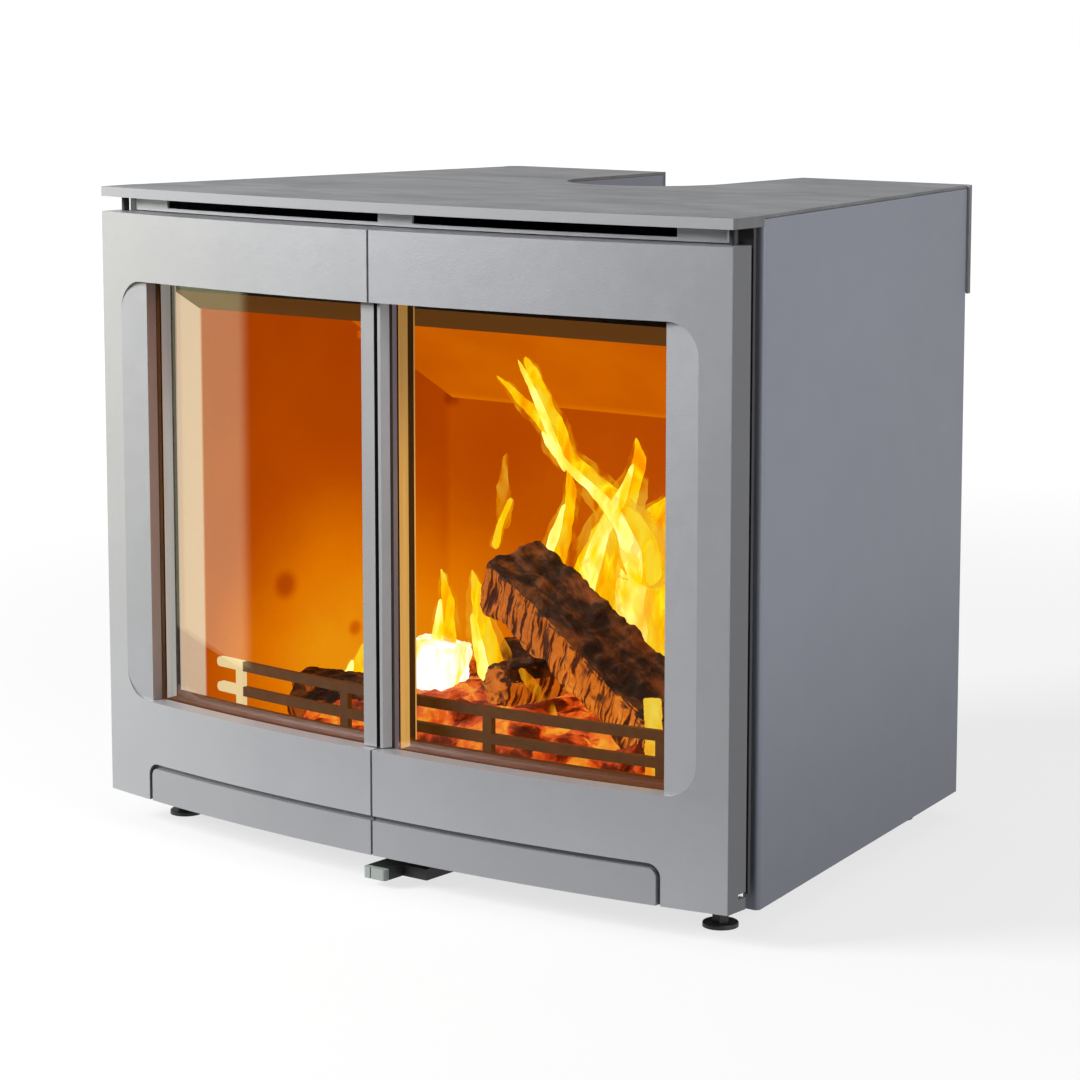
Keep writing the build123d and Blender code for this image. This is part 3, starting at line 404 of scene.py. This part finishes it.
def lining_board(name, outer_dark, outer_light, outer_glow, extra=0.0, marks=()):
    """Pressed mineral board: its own colour plus a painted light glow on the splay, and further in
    a near-black base under a painted firelight glow.
    """
    finish = Finish(name, roughness=0.92)
    finish.feed("Specular IOR Level", 0.1)
    fleck = finish.noise(420.0, detail=2.0)
    cloud = finish.noise(9.0, 4.0, 0.5)
    inside = inside_amount(finish)
    plain = finish.mix(fleck * 0.6 + cloud * 0.4, outer_dark, outer_light)
    # Inside, the near-black base colour is painted shade, so the painted firelight glow gives the
    # colour there.
    finish.feed("Base Color", finish.mix(inside, plain, (0.07, 0.016, 0.001)))
    # heat: how strongly painted firelight glows, less at the dark marks
    heat = glow_amount(finish) + (cloud - 0.5) * 0.26 + (fleck - 0.5) * 0.06 + extra
    for place, size in marks:
        heat = heat - finish.smooth(finish.distance_to(place), size * 0.2, size, 0.24, 0.0)
    stops = (
        (0.0, (0.08, 0.006, 0.0)),
        (0.25, (0.33, 0.036, 0.0)),
        (0.5, (0.52, 0.078, 0.0)),
        (0.75, (0.82, 0.20, 0.0)),
        (1.0, (1.0, 0.43, 0.008)),
    )
    finish.glow(finish.mix(inside, outer_glow, finish.ramp(heat, *stops)))
    finish.feed("Normal", finish.bump(cloud + fleck * 0.2, 0.0015, 0.5))
    return finish.material


def firelit_steel(name, tone, reach, lit_end=None):
    """Dark steel in the firebox mouth with a painted firelight glow, and a pale painted highlight
    on right-hand faces at the far left and on all left of lit_end.
    """
    finish = Finish(name, metallic=0.2)
    across = finish.axes()[0]
    scale = finish.noise(120.0, detail=4.0)
    finish.feed("Base Color", finish.mix(scale, tone, scaled(tone, 1.7)))
    finish.feed("Roughness", finish.clamp(scale * 0.25 + 0.6))
    lit = finish.smooth(turned(finish)[0], 0.4, 0.8) * finish.fade(across, *lit_left)
    if lit_end is not None:
        lit = finish.clamp(lit + finish.fade(across, lit_end - 0.0006, lit_end + 0.0006))
    dim = (0.045 * reach, 0.012 * reach, 0.0005)
    bright = (0.13 * reach, 0.042 * reach, 0.004)
    finish.glow(finish.mix(lit, finish.mix(scale, dim, bright), (0.9, 0.72, 0.38)))
    finish.feed("Normal", finish.bump(scale, 0.0004, 0.5))
    return finish.material


def glass_retainer(name, lit):
    """Folded steel strip behind a pane: its web glows with painted light, and the rest is dark as
    painted shade, darker still at the foot, which has a painted firelight glow.
    """
    finish = Finish(name, metallic=0.4)
    height = finish.axes()[2]
    drawn = finish.noise(600.0, place=finish.stretched((1.0, 1.0, 0.05)))
    streak = finish.noise(1.0, 3.0, 0.5, 0.0, finish.stretched((300.0, 300.0, 9.0)))
    web = inner_sides(finish)
    bottom = finish.fade(height, *(retainer_foot.z + rise for rise in foot_strip))
    shaded_steel = finish.mix(drawn, (0.06, 0.028, 0.012), (0.12, 0.06, 0.025))
    shaded_steel = finish.mix(bottom, shaded_steel, (0.03, 0.01, 0.003))
    finish.feed("Base Color", finish.mix(web, shaded_steel, (0.34, 0.31, 0.30)))
    finish.feed("Roughness", finish.clamp(drawn * 0.2 + 0.4))
    web_glow = finish.mix(streak, scaled(lit, 0.7), scaled(lit, 1.25))
    foot_glow = finish.mix(bottom, black, (0.11, 0.026, 0.001))
    low = finish.fade(height, *retainer_heights, 0.55)
    finish.glow(finish.mix(web * low, foot_glow, web_glow))
    finish.feed("Normal", finish.bump(drawn, 0.00005, 0.6))
    return finish.material


def clear_pane(name):
    """Clear heat-resistant glass: see-through head on, more of a mirror at a low angle."""
    finish = Finish(name)
    facing = finish.node("LayerWeight", inputs={"Blend": 0.5}, output="Facing")
    clear = finish.node("BsdfTransparent", inputs={"Color": (0.965, 0.955, 0.93)})
    gloss = finish.node("BsdfGlossy", inputs={"Color": white, "Roughness": 0.0})
    mirror = facing**5 * 0.95 + 0.05
    both = finish.node("MixShader", inputs={0: mirror, 1: clear, 2: gloss})
    finish.give(finish.out.inputs["Surface"], both)
    finish.tree.nodes.remove(finish.surface)
    return finish.material


def rope_braid(name, tone):
    """Braided glass-fibre rope."""
    finish = Finish(name, roughness=0.85)
    across, deep, height = finish.axes()
    run, tilt, pitch = across + height, deep * 1.3, 1500.0
    rising = abs(finish.math("SINE", (run + tilt) * pitch))
    falling = abs(finish.math("SINE", (run - tilt) * pitch))
    strands = rising * falling
    finish.feed("Base Color", finish.mix(strands, scaled(tone, 0.45), tone))
    finish.feed("Normal", finish.bump(strands, 0.0006, 0.8))
    return finish.material


def pale_plastic(name, tone, roughness):
    """Moulded heat-resistant plastic with a fine matt texture."""
    finish = Finish(name)
    mottle = finish.noise(200.0)
    finish.feed("Base Color", finish.mix(mottle, scaled(tone, 0.85), tone))
    finish.feed("Roughness", finish.clamp(mottle * 0.15 + roughness))
    finish.feed("Normal", finish.bump(finish.noise(900.0, detail=2.0), 0.0001, 0.5))
    return finish.material


def charred_wood(name, run, heat=1.0):
    """A burnt log: black on top, and cracked across into glowing ribs over the embers; the orange
    base colour of its downward faces is painted firelight from the embers below.
    """
    finish = Finish(name, roughness=0.9)
    turn = run.to_track_quat("X", "Z").inverted().to_euler()
    along = finish.stretched((1.0, 1.0, 1.0), tuple(turn))
    across_grain = finish.stretched((230.0, 26.0, 26.0), place=along)
    slits = finish.noise(1.0, 2.0, 0.5, 0.5, across_grain)
    with_grain = finish.stretched((38.0, 80.0, 80.0), place=along)
    fibre = finish.noise(1.0, 5.0, 0.65, 0.5, with_grain)
    patch = finish.noise(30.0, 3.0, 0.6, 0.6)
    under = finish.fade(turned(finish)[2], 0.05, 0.5)
    ridge = finish.smooth(slits, 0.38, 0.53)
    bark = finish.smooth(fibre * 0.5 + patch * 0.5, 0.42, 0.66)
    top = finish.mix(bark, (0.016, 0.006, 0.003), (0.26, 0.085, 0.022))
    # The orange base colour of the downward faces is painted firelight.
    side = finish.mix(ridge, (0.03, 0.008, 0.002), (0.20, 0.07, 0.010))
    finish.feed("Base Color", finish.mix(under, top, side))
    # warmth: the glow fades with height, partly real heat of the ribs and partly painted firelight
    # from the embers below.
    warmth = finish.fade(finish.axes()[2], hearth_top + 0.01, hearth_top + 0.14, 0.66)
    ribs = under * (ridge * 0.75 + 0.1) * (fibre * 0.6 + patch * 0.5 + 0.35)
    stops = (
        (0.0, (0.02, 0.002, 0.0)),
        (0.2, (0.08, 0.011, 0.001)),
        (0.5, (0.34, 0.066, 0.003)),
        (0.75, (0.62, 0.15, 0.008)),
        (1.0, (1.0, 0.46, 0.05)),
    )
    scorch = finish.mix(bark, (0.004, 0.001, 0.0), (0.06, 0.017, 0.002))
    glow = finish.ramp(finish.clamp(ribs * warmth * heat), *stops)
    finish.glow(finish.mix(under, scorch, glow))
    relief = finish.bump(ridge * under, 0.003, 0.9)
    finish.feed("Normal", finish.bump(fibre, 0.004, 0.7, relief))
    return finish.material


def ember_bed(name):
    """Glowing coals with dark lumps and a little ash among them."""
    finish = Finish(name, roughness=0.95)
    lump = finish.lumps(55.0)
    patch = finish.noise(30.0, 4.0, 0.6, 0.6)
    crumb = finish.noise(160.0)
    finish.feed("Base Color", finish.mix(patch, (0.02, 0.008, 0.004), (0.11, 0.04, 0.015)))
    heat = finish.smooth(patch, 0.34, 0.62) * 0.75 + lump * 0.35 + (crumb - 0.5) * 0.4
    stops = (
        (0.0, (0.02, 0.001, 0.0)),
        (0.3, (0.16, 0.012, 0.001)),
        (0.55, (0.58, 0.05, 0.005)),
        (0.8, (0.88, 0.14, 0.014)),
        (1.0, (1.0, 0.46, 0.03)),
    )
    finish.glow(finish.ramp(heat, *stops))
    finish.feed("Normal", finish.bump(crumb + patch, 0.004, 0.7))
    return finish.material


def flame_light(name, cool, hot, cover, power=1.0):
    """Burning gas: bright strands in a cooler body, thin where cover is low."""
    finish = Finish(name, roughness=1.0)
    finish.feed("Base Color", black)
    finish.feed("Specular IOR Level", 0.0)
    strands = finish.noise(56.0, 2.0, 0.5, 0.8, finish.stretched((1.0, 1.0, 0.4)))
    warm = tuple((first + second) / 2 for first, second in zip(cool, hot))
    pale = (1.0, min(1.0, hot[1] + 0.14), hot[2] * 1.6 + 0.03)
    stops = (0.34, cool), (0.44, warm), (0.52, hot), (0.64, pale)
    finish.glow(finish.ramp(strands, *stops), power)
    finish.feed("Alpha", finish.clamp(finish.smooth(strands, 0.36, 0.6) * 0.5 + (cover - 0.3)))
    return finish.material


def select_only(piece):
    bpy.ops.object.select_all(action="DESELECT")
    piece.select_set(True)
    bpy.context.view_layer.objects.active = piece


def settle(piece):
    """Puts a finished piece's place and turn into its mesh."""
    select_only(piece)
    bpy.ops.object.transform_apply(location=True, rotation=True, scale=True)


def start_piece(name):
    """Names the primitive that was just added, opens it for editing and selects all of it."""
    piece = bpy.context.active_object
    piece.name = name
    piece.data.name = name
    bpy.ops.object.mode_set(mode="EDIT")
    bpy.ops.mesh.select_all(action="SELECT")
    return piece


def close_piece():
    """Points the faces outwards and ends the editing."""
    bpy.ops.mesh.select_all(action="SELECT")
    bpy.ops.mesh.normals_make_consistent(inside=False)
    bpy.ops.object.mode_set(mode="OBJECT")


def apply_all(piece):
    select_only(piece)
    for modifier in list(piece.modifiers):
        bpy.ops.object.modifier_apply(modifier=modifier.name)


def roughen(piece, levels, amount, size):
    """Rounds a piece and breaks up its surface."""
    rounded = piece.modifiers.new("rounded", "SUBSURF")
    rounded.levels = levels
    rounded.render_levels = levels
    clouds = bpy.data.textures.new(piece.name, "CLOUDS")
    clouds.noise_scale = size
    clouds.noise_depth = 3
    broken = piece.modifiers.new("broken", "DISPLACE")
    broken.texture = clouds
    broken.texture_coords = "GLOBAL"
    broken.strength = amount
    broken.mid_level = 0.5
    apply_all(piece)


def dress(piece, finish, smooth=True):
    """Gives a piece its finish and fixes it to the casing."""
    piece.data.materials.clear()
    piece.data.materials.append(finish)
    select_only(piece)
    if smooth:
        bpy.ops.object.shade_smooth()
    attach(piece, "casing")


def split_log(name, start, end, section, finish, lift=0.0):
    """A log from start to end: a (back, up) section, its front edge moved by lift at the end."""
    steps = 8
    run = end - start
    thick = max(abs(part) for point in section for part in point)
    bpy.ops.object.select_all(action="DESELECT")
    bpy.ops.mesh.primitive_circle_add(vertices=len(section), radius=thick, fill_type="NGON")
    piece = bpy.context.active_object
    for vertex, (back, up) in zip(piece.data.vertices, section):
        vertex.co = (back, up, 0)
    start_piece(name)
    move = {"value": (0, 0, run.length / steps)}
    drift = thick * log_drift
    for _ in range(steps):
        bpy.ops.mesh.extrude_region_move(TRANSFORM_OT_translate=move)
        growth = (random.uniform(*log_growth), random.uniform(*log_growth), 1)
        bpy.ops.transform.resize(value=growth)
        sideways = (random.uniform(-drift, drift), random.uniform(-drift, drift), 0)
        bpy.ops.transform.translate(value=sideways)
    close_piece()
    for vertex in piece.data.vertices:
        if vertex.co.x < -thick / 3 and vertex.co.y > -thick / 4:
            vertex.co.y += lift * vertex.co.z / run.length
    piece.rotation_mode = "QUATERNION"
    piece.rotation_quaternion = run.to_track_quat("Z", "Y")
    piece.location = start
    settle(piece)
    worn = piece.modifiers.new("worn edges", "BEVEL")
    worn.width = thick * log_worn_edge
    worn.segments = 2
    finer = piece.modifiers.new("finer", "SUBSURF")
    finer.subdivision_type = "SIMPLE"
    finer.levels = 2
    finer.render_levels = 2
    roughen(piece, 2, thick * log_bumps, thick * log_bump_size)
    dress(piece, finish)


def flame(name, deep, path, finish, swell):
    """A flat tongue of flame along (across, height, width) points."""
    across, height, width = path[0]
    bpy.ops.object.select_all(action="DESELECT")
    foot = (across, deep, height)
    bpy.ops.mesh.primitive_circle_add(vertices=12, radius=0.5, fill_type="NGON", location=foot)
    piece = start_piece(name)
    bpy.ops.transform.resize(value=(width * swell, width * swell * flame_flatness, 1))
    for before, after in zip(path, path[1:]):
        move = {"value": (after[0] - before[0], 0, after[1] - before[1])}
        bpy.ops.mesh.extrude_region_move(TRANSFORM_OT_translate=move)
        shrink = after[2] / before[2]
        bpy.ops.transform.resize(value=(shrink, shrink, 1))
    close_piece()
    settle(piece)
    roughen(piece, 3, flame_bumps + flame_bump_growth * swell, flame_bump_size)
    dress(piece, finish)


def coals(name, count, finish):
    """Loose lumps of charcoal over the ember bed."""
    lumps = []
    for number in range(count):
        across = random.uniform(-ember_half_width, ember_half_width)
        deep = random.uniform(ember_front, ember_rear)
        size = random.uniform(*coal_sizes)
        bed = ember_height * (1 - 0.6 * (across / ember_half_width) ** 2)
        place = (across, deep, hearth_top + bed * 0.85)
        bpy.ops.object.select_all(action="DESELECT")
        bpy.ops.mesh.primitive_ico_sphere_add(subdivisions=2, radius=size, location=place)
        lump = start_piece(f"{name}_{number}")
        bpy.ops.transform.vertex_random(offset=size * 0.35, seed=number)
        stretch = tuple(random.uniform(*limits) for limits in coal_stretch)
        bpy.ops.transform.resize(value=stretch)
        bpy.ops.object.mode_set(mode="OBJECT")
        lump.rotation_euler = tuple(random.uniform(*limits) for limits in coal_turns)
        settle(lump)
        lumps.append(lump)
    for lump in lumps:
        lump.select_set(True)
    piece = lumps[0]
    bpy.context.view_layer.objects.active = piece
    bpy.ops.object.join()
    piece.name = name
    dress(piece, finish, smooth=False)


def mound(name, finish):
    """The bed of embers: a flat plate raised in the middle, with a lumpy top."""
    deep_middle = (ember_front + ember_rear) / 2
    half_depth = (ember_rear - ember_front) / 2
    plate_foot, plate_thickness, lowest_top = hearth_top + 0.002, 0.003, hearth_top + 0.004
    middle = (0, deep_middle, plate_foot)
    bpy.ops.object.select_all(action="DESELECT")
    bpy.ops.mesh.primitive_grid_add(x_subdivisions=70, y_subdivisions=50, size=1, location=middle)
    piece = start_piece(name)
    bpy.ops.transform.resize(value=(2 * ember_half_width, ember_rear - ember_front, 1))
    bpy.ops.mesh.extrude_region_move(TRANSFORM_OT_translate={"value": (0, 0, plate_thickness)})
    close_piece()
    settle(piece)
    for vertex in piece.data.vertices:
        if vertex.co.z > lowest_top:
            side = min(1.0, abs(vertex.co.x) / ember_half_width)
            back = min(1.0, abs(vertex.co.y - deep_middle) / half_depth)
            vertex.co.z += ember_height * (1 - side**3) * (1 - back**3)
            vertex.co.z += random.uniform(-0.0015, 0.002)
    dress(piece, finish)


# Tones of the boards and the castings: each board gives dark, light and a painted light glow for
# its splay, and the shaded board tones are painted shade
buff = (0.54, 0.38, 0.25), (0.68, 0.50, 0.34), (0.58, 0.46, 0.34)
# Dark tones for the lintel as painted shade, with a weak painted firelight glow
shaded_board_tones = (0.06, 0.035, 0.016), (0.09, 0.055, 0.026), (0.10, 0.036, 0.006)
iron = (0.36, 0.365, 0.385), (0.43, 0.435, 0.455)
# A darker copy of the door tones, painted shade for the lower cover panels
shaded_iron = tuple(scaled(tone, 0.86) for tone in iron)

# Dark marks on the left wall and the back: place and size
wall_marks = (
    ((-0.2276, -0.0741, 0.179), 0.016),
    ((-0.2152, -0.0033, 0.134), 0.009),
    ((-0.195, 0.1, 0.318), 0.010),
)

# A finish for each kind of surface in the record
finishes = {
    # The top plate paint is a dark copy of the door paint, painted shade on the top, and its
    # forward faces get 2.3 times the dark tone as painted light.
    "plate_grey": cast_paint(
        "top plate paint", (0.17, 0.172, 0.176), (0.34, 0.345, 0.355), 0.72,
        grain=1.4, metallic=0.1, patches=1.3, level=0.1, shade=(lit_front_faces, 2.3),
    ),
    "casing_grey": sheet_paint("casing paint", (0.235, 0.245, 0.298), (0.275, 0.285, 0.342), 0.5),
    # The door paint gets painted shade at the outer ends of the doors and in the groove round the
    # cover panels.
    "door_iron": cast_paint("door paint", *iron, 0.42, shade=(painted_shade_places, 0.4)),
    # The stiles get painted shade in the gap between the doors and a painted light glow on their
    # right-hand sides behind the glass.
    "stile_iron": cast_paint(
        "stile paint", (0.36, 0.36, 0.37), (0.42, 0.42, 0.43), 0.4,
        shade=(gap_shade, 0.05), glow=(0.10, 0.095, 0.12),
    ),
    "frame_black": black_paint("black paint", (0.018, 0.018, 0.02), 0.55),
    "firebox_steel": black_paint("firebox steel", (0.03, 0.028, 0.026), 0.5),
    "lining_board": lining_board("lining board", *buff, marks=wall_marks),
    # The hearth lip and the log guard glow with painted firelight, its strength given by reach.
    "hearth_iron": firelit_steel("hearth iron", (0.05, 0.03, 0.018), 1.4),
    "guard_steel": firelit_steel(
        "guard steel", (0.04, 0.018, 0.007), 0.8, lit_end=guard_low.x + guard_lit_length
    ),
    "pane_glass": clear_pane("pane glass"),
    "glass_tape": rope_braid("glass tape", (0.10, 0.075, 0.055)),
    "rope_seal": rope_braid("rope seal", (0.30, 0.29, 0.27)),
    "screw_steel": bare_metal("plated steel", (0.60, 0.60, 0.58), 0.35),
    "tip_grey": pale_plastic("lever tip", (0.40, 0.44, 0.41), 0.5),
    "foot_black": pale_plastic("foot black", (0.02, 0.02, 0.021), 0.45),
}

# Single pieces that look unlike the rest of their kind
# The baffle takes the shaded board tones and extra painted firelight glow.
baffle_finish = lining_board("baffle board", *shaded_board_tones, extra=0.22)
# The cover panels take the darker copy of the door paint as painted shade.
cover_finish = cast_paint("cover panel paint", *shaded_iron, 0.45)
special = {
    # The lintel board is dark as painted shade.
    "lintel_lining": lining_board("shaded lintel board", *shaded_board_tones),
    "baffle": baffle_finish,
    "baffle_rests": baffle_finish,
    # The vent strip's paint is lighter than the casing's, painted light where the top plate shades
    # it.
    "vent_strip": sheet_paint("vent strip paint", (0.62, 0.625, 0.65), (0.68, 0.685, 0.71), 0.5),
    "left_cover_panel": cover_finish,
    "right_cover_panel": cover_finish,
    # Each retainer's web glows with painted light in the given tone.
    "left_glass_retainer": glass_retainer("left retainer steel", (0.37, 0.40, 0.40)),
    "right_glass_retainer": glass_retainer("right retainer steel", (0.66, 0.36, 0.07)),
}
for part in frame["record"]["subparts"]:
    for holder in nodes[part["node"]].material_slots:
        holder.material = special.get(part["node"]) or finishes[part["material_slot"]]

# The logs, from end to end
main_start, main_end = Vector((-0.020, -0.046, 0.212)), Vector((0.205, -0.108, 0.105))
rear_start, rear_end = Vector((-0.09, 0.045, 0.112)), Vector((0.17, 0.065, 0.116))
prop_start, prop_end = Vector((0.026, -0.116, 0.136)), Vector((0.045, 0.03, 0.134))
left_start, left_end = Vector((-0.200, -0.088, 0.086)), Vector((-0.10, -0.06, 0.092))
hot_start, hot_end = Vector((-0.106, -0.058, 0.130)), Vector((-0.066, -0.050, 0.126))
stick_start, stick_end = Vector((0.179, -0.124, 0.082)), Vector((0.174, -0.118, 0.146))

# Their sections, as (back, up) points
billet = (-0.023, 0.010), (-0.018, -0.034), (0.024, -0.030), (0.026, 0.026)
block = (-0.018, 0.019), (-0.019, -0.018), (0.018, -0.019), (0.019, 0.018)
round_log = (
    (-0.025, 0.006), (-0.014, -0.024), (0.016, -0.024),
    (0.026, 0.002), (0.012, 0.024), (-0.012, 0.022),
)
prop_section, left_section, stick_section = (
    tuple(scaled(point, share) for point in round_log) for share in (0.66, 1.15, 0.26)
)

# The fire
ember_finish = ember_bed("embers")
main_char = charred_wood("main log char", main_end - main_start, 1.12)
rear_char = charred_wood("rear log char", rear_end - rear_start)
prop_char = charred_wood("prop log char", prop_end - prop_start)
left_char = charred_wood("left log char", left_end - left_start, 0.6)
white_heat = flame_light("white heat", (1.0, 0.70, 0.10), (1.0, 0.98, 0.80), 1.3, 1.5)
yellow_heat = flame_light("yellow heat", (1.0, 0.30, 0.01), (1.0, 0.62, 0.04), 1.3)
mound("ember_mound", ember_finish)
coals("loose_coals", 110, ember_finish)
split_log("main_log", main_start, main_end, billet, main_char, lift=-0.010)
split_log("rear_log", rear_start, rear_end, round_log, rear_char)
split_log("prop_log", prop_start, prop_end, prop_section, prop_char)
split_log("left_log", left_start, left_end, left_section, left_char)
split_log("hot_log", hot_start, hot_end, block, white_heat)
split_log("hot_stick", stick_start, stick_end, stick_section, yellow_heat)

# The flames: how deep each stands, its foot and its tip, as (across, height, width) points
flames = {
    "reaching": (
        0.0,
        (
            (0.080, 0.200, 0.050), (0.072, 0.245, 0.046),
            (0.044, 0.272, 0.036), (0.010, 0.290, 0.028),
        ),
        ((-0.014, 0.318, 0.025), (-0.040, 0.338, 0.021), (-0.068, 0.357, 0.005)),
    ),
    "forked": (
        0.0,
        ((0.010, 0.285, 0.022), (-0.004, 0.316, 0.023), (-0.016, 0.338, 0.020)),
        ((-0.038, 0.373, 0.004),),
    ),
    "right": (
        0.004,
        (
            (0.022, 0.170, 0.055), (0.030, 0.208, 0.050),
            (0.045, 0.246, 0.040), (0.064, 0.274, 0.026),
        ),
        ((0.073, 0.300, 0.018), (0.068, 0.318, 0.004)),
    ),
    "middle": (
        0.0,
        ((-0.010, 0.205, 0.028), (0.0, 0.240, 0.020)),
        ((0.010, 0.262, 0.014), (0.004, 0.288, 0.003)),
    ),
    "end": (
        -0.02,
        ((-0.052, 0.220, 0.014),),
        ((-0.048, 0.242, 0.011), (-0.036, 0.262, 0.003)),
    ),
    "wisp": (
        0.0,
        ((-0.056, 0.232, 0.014),),
        ((-0.062, 0.262, 0.013), (-0.056, 0.296, 0.003)),
    ),
    "mass": (
        0.02,
        ((0.066, 0.120, 0.085), (0.064, 0.165, 0.100), (0.060, 0.210, 0.090)),
        ((0.072, 0.246, 0.060), (0.096, 0.276, 0.006)),
    ),
    "low": (
        -0.03,
        ((-0.046, 0.115, 0.030), (-0.054, 0.146, 0.030)),
        ((-0.060, 0.172, 0.022), (-0.068, 0.204, 0.004)),
    ),
    "left": (
        -0.04,
        ((-0.088, 0.130, 0.028), (-0.086, 0.158, 0.020)),
        ((-0.084, 0.182, 0.014), (-0.092, 0.204, 0.003)),
    ),
    "corner": (
        -0.055,
        ((-0.172, 0.088, 0.034), (-0.170, 0.108, 0.026)),
        ((-0.164, 0.124, 0.014), (-0.158, 0.140, 0.003)),
    ),
    "lick": (
        -0.126,
        ((0.086, 0.120, 0.012),),
        ((0.078, 0.132, 0.013), (0.068, 0.143, 0.009), (0.057, 0.154, 0.003)),
    ),
}
faint_flames = "wisp", "lick"
thin_flame = flame_light("thin flame", (1.0, 0.17, 0.0), (1.0, 0.36, 0.0), 0.26)
bright_flame = flame_light("bright flame", (1.0, 0.32, 0.0), (1.0, 0.72, 0.003), 1.0, 1.25)
white_flame = flame_light("white flame", (1.0, 0.66, 0.0), (1.0, 0.92, 0.18), 0.9, 1.4)
for word, (deep, foot, tip) in flames.items():
    flame(f"flame_{word}", deep, foot + tip, thin_flame, outer_swell)
    if word not in faint_flames:
        flame(f"flame_{word}_core", deep, foot + tip, bright_flame, core_swell)
    if len(foot) > 1:
        middle = foot + tip[:1]
        flame(f"flame_{word}_heart", deep - heart_ahead, middle, white_flame, heart_swell)


def lamp(name, place, power, size, colour, aim=None):
    """A square lamp that points at aim, or without one a small round light of the fire."""
    made = bpy.data.objects.new(name, bpy.data.lights.new(name, "POINT" if aim is None else "AREA"))
    made.data.energy = power
    made.data.color = colour
    bpy.context.scene.collection.objects.link(made)
    made.location = place
    if aim is None:
        made.data.shadow_soft_size = size
    else:
        made.data.size = size
        made.rotation_mode = "QUATERNION"
        made.rotation_quaternion = (aim - Vector(place)).to_track_quat("-Z", "Y")


# The lamps of the studio and the light of the fire: place, power, size and colour
centre = (cad_box[0] + cad_box[1]) / 2
lamp("key", (-1.7, -2.0, 1.5), 103.0, 1.2, white, centre)
lamp("fill", (2.7, -0.4, 1.0), 31.0, 1.6, white, centre)
lamp("overhead", (-0.3, 0.3, 2.6), 8.0, 2.0, white, centre)
lamp("flame_lamp", (0.08, 0.0, 0.23), 0.4, 0.05, (1.0, 0.45, 0.10))
lamp("ember_lamp", (0.05, -0.14, 0.105), 0.03, 0.03, (1.0, 0.40, 0.08))

# The floor, the even light and the cards in front of the doors
floor_side = 60
floor_drop = 0.0005
floor_tone = (0.27, 0.27, 0.27)
near_glow, far_glow = (0.72, 0.72, 0.72), white
floor_fade = 0.6, 3.0
ambient = 0.16
card_line = -0.6
card_height = 0.9
card_left, card_edge, card_right = -1.874, -0.674, 0.9
card_soft_edge = 0.03
floor_card_rear = -0.46
floor_card_height = 0.0005
card_white = (1.48, 1.48, 0.85)


def seen_white(finish):
    """One where the camera, a reflection or glass sees it, and zero for light on the object."""
    rays = finish.node("LightPath").socket.node
    words = "Is Camera Ray", "Is Glossy Ray", "Is Transmission Ray"
    camera, glossy, through = (Value(finish, rays.outputs[word]) for word in words)
    return finish.clamp(camera + glossy + through)


def studio_floor():
    """A plain pale floor that keeps the object's shadow."""
    bpy.ops.object.select_all(action="DESELECT")
    bpy.ops.mesh.primitive_plane_add(size=floor_side, location=(0, 0, -floor_drop))
    piece = bpy.context.active_object
    piece.name = "studio_floor"
    finish = Finish("pale floor", roughness=1.0)
    finish.feed("Specular IOR Level", 0.0)
    finish.feed("Base Color", floor_tone)
    away = finish.smooth(finish.distance_to((0.0, 0.0, 0.0)), *floor_fade)
    finish.glow(finish.mix(away, near_glow, far_glow), seen_white(finish))
    piece.data.materials.append(finish.material)


def studio_card(name, left, right, glow, flat=False):
    """A card that stands before the doors or lies there, and shows only as a reflection."""
    middle = (left + right) / 2
    if flat:
        place = (middle, (card_line + floor_card_rear) / 2, floor_card_height)
        turn, length = 0, floor_card_rear - card_line
    else:
        place = (middle, card_line, card_height / 2)
        turn, length = math.pi / 2, card_height
    bpy.ops.object.select_all(action="DESELECT")
    bpy.ops.mesh.primitive_plane_add(size=1, rotation=(turn, 0, 0), location=place)
    piece = bpy.context.active_object
    piece.name = name
    piece.scale = (right - left, length, 1)
    settle(piece)
    finish = Finish(name, roughness=1.0)
    finish.feed("Base Color", black)
    finish.feed("Specular IOR Level", 0.0)
    soft = finish.smooth(finish.axes()[0], right - card_soft_edge, right)
    finish.glow(finish.mix(soft, glow, black))
    piece.data.materials.append(finish.material)
    for ray in ("camera", "diffuse", "transmission", "volume_scatter", "shadow"):
        setattr(piece, "visible_" + ray, False)


def studio_world():
    """Even grey light from all round, seen as white."""
    world = bpy.data.worlds.new("studio")
    bpy.context.scene.world = world
    world.use_nodes = True
    finish = Finish.__new__(Finish)
    finish.tree = world.node_tree
    background = world.node_tree.nodes["Background"]
    background.inputs["Color"].default_value = (*white, 1.0)
    strength = seen_white(finish) * (1.0 - ambient) + ambient
    finish.give(background.inputs["Strength"], strength)


studio_floor()
studio_world()
studio_card("white_card", card_left, card_edge, card_white)
studio_card("black_card", card_edge, card_right, black)
studio_card("floor_card", card_left, card_right, black, flat=True)

# The camera
lens = bpy.data.cameras.new("camera")
lens.sensor_width = sensor
lens.lens = focal_pixels / image_side * sensor
lens.shift_y = camera_shift
camera = bpy.data.objects.new("camera", lens)
bpy.context.scene.collection.objects.link(camera)
camera.location = camera_place
camera.rotation_euler = (math.pi / 2 + camera_pitch, 0, camera_yaw)
bpy.context.scene.camera = camera
bpy.context.scene.view_settings.view_transform = "Standard"
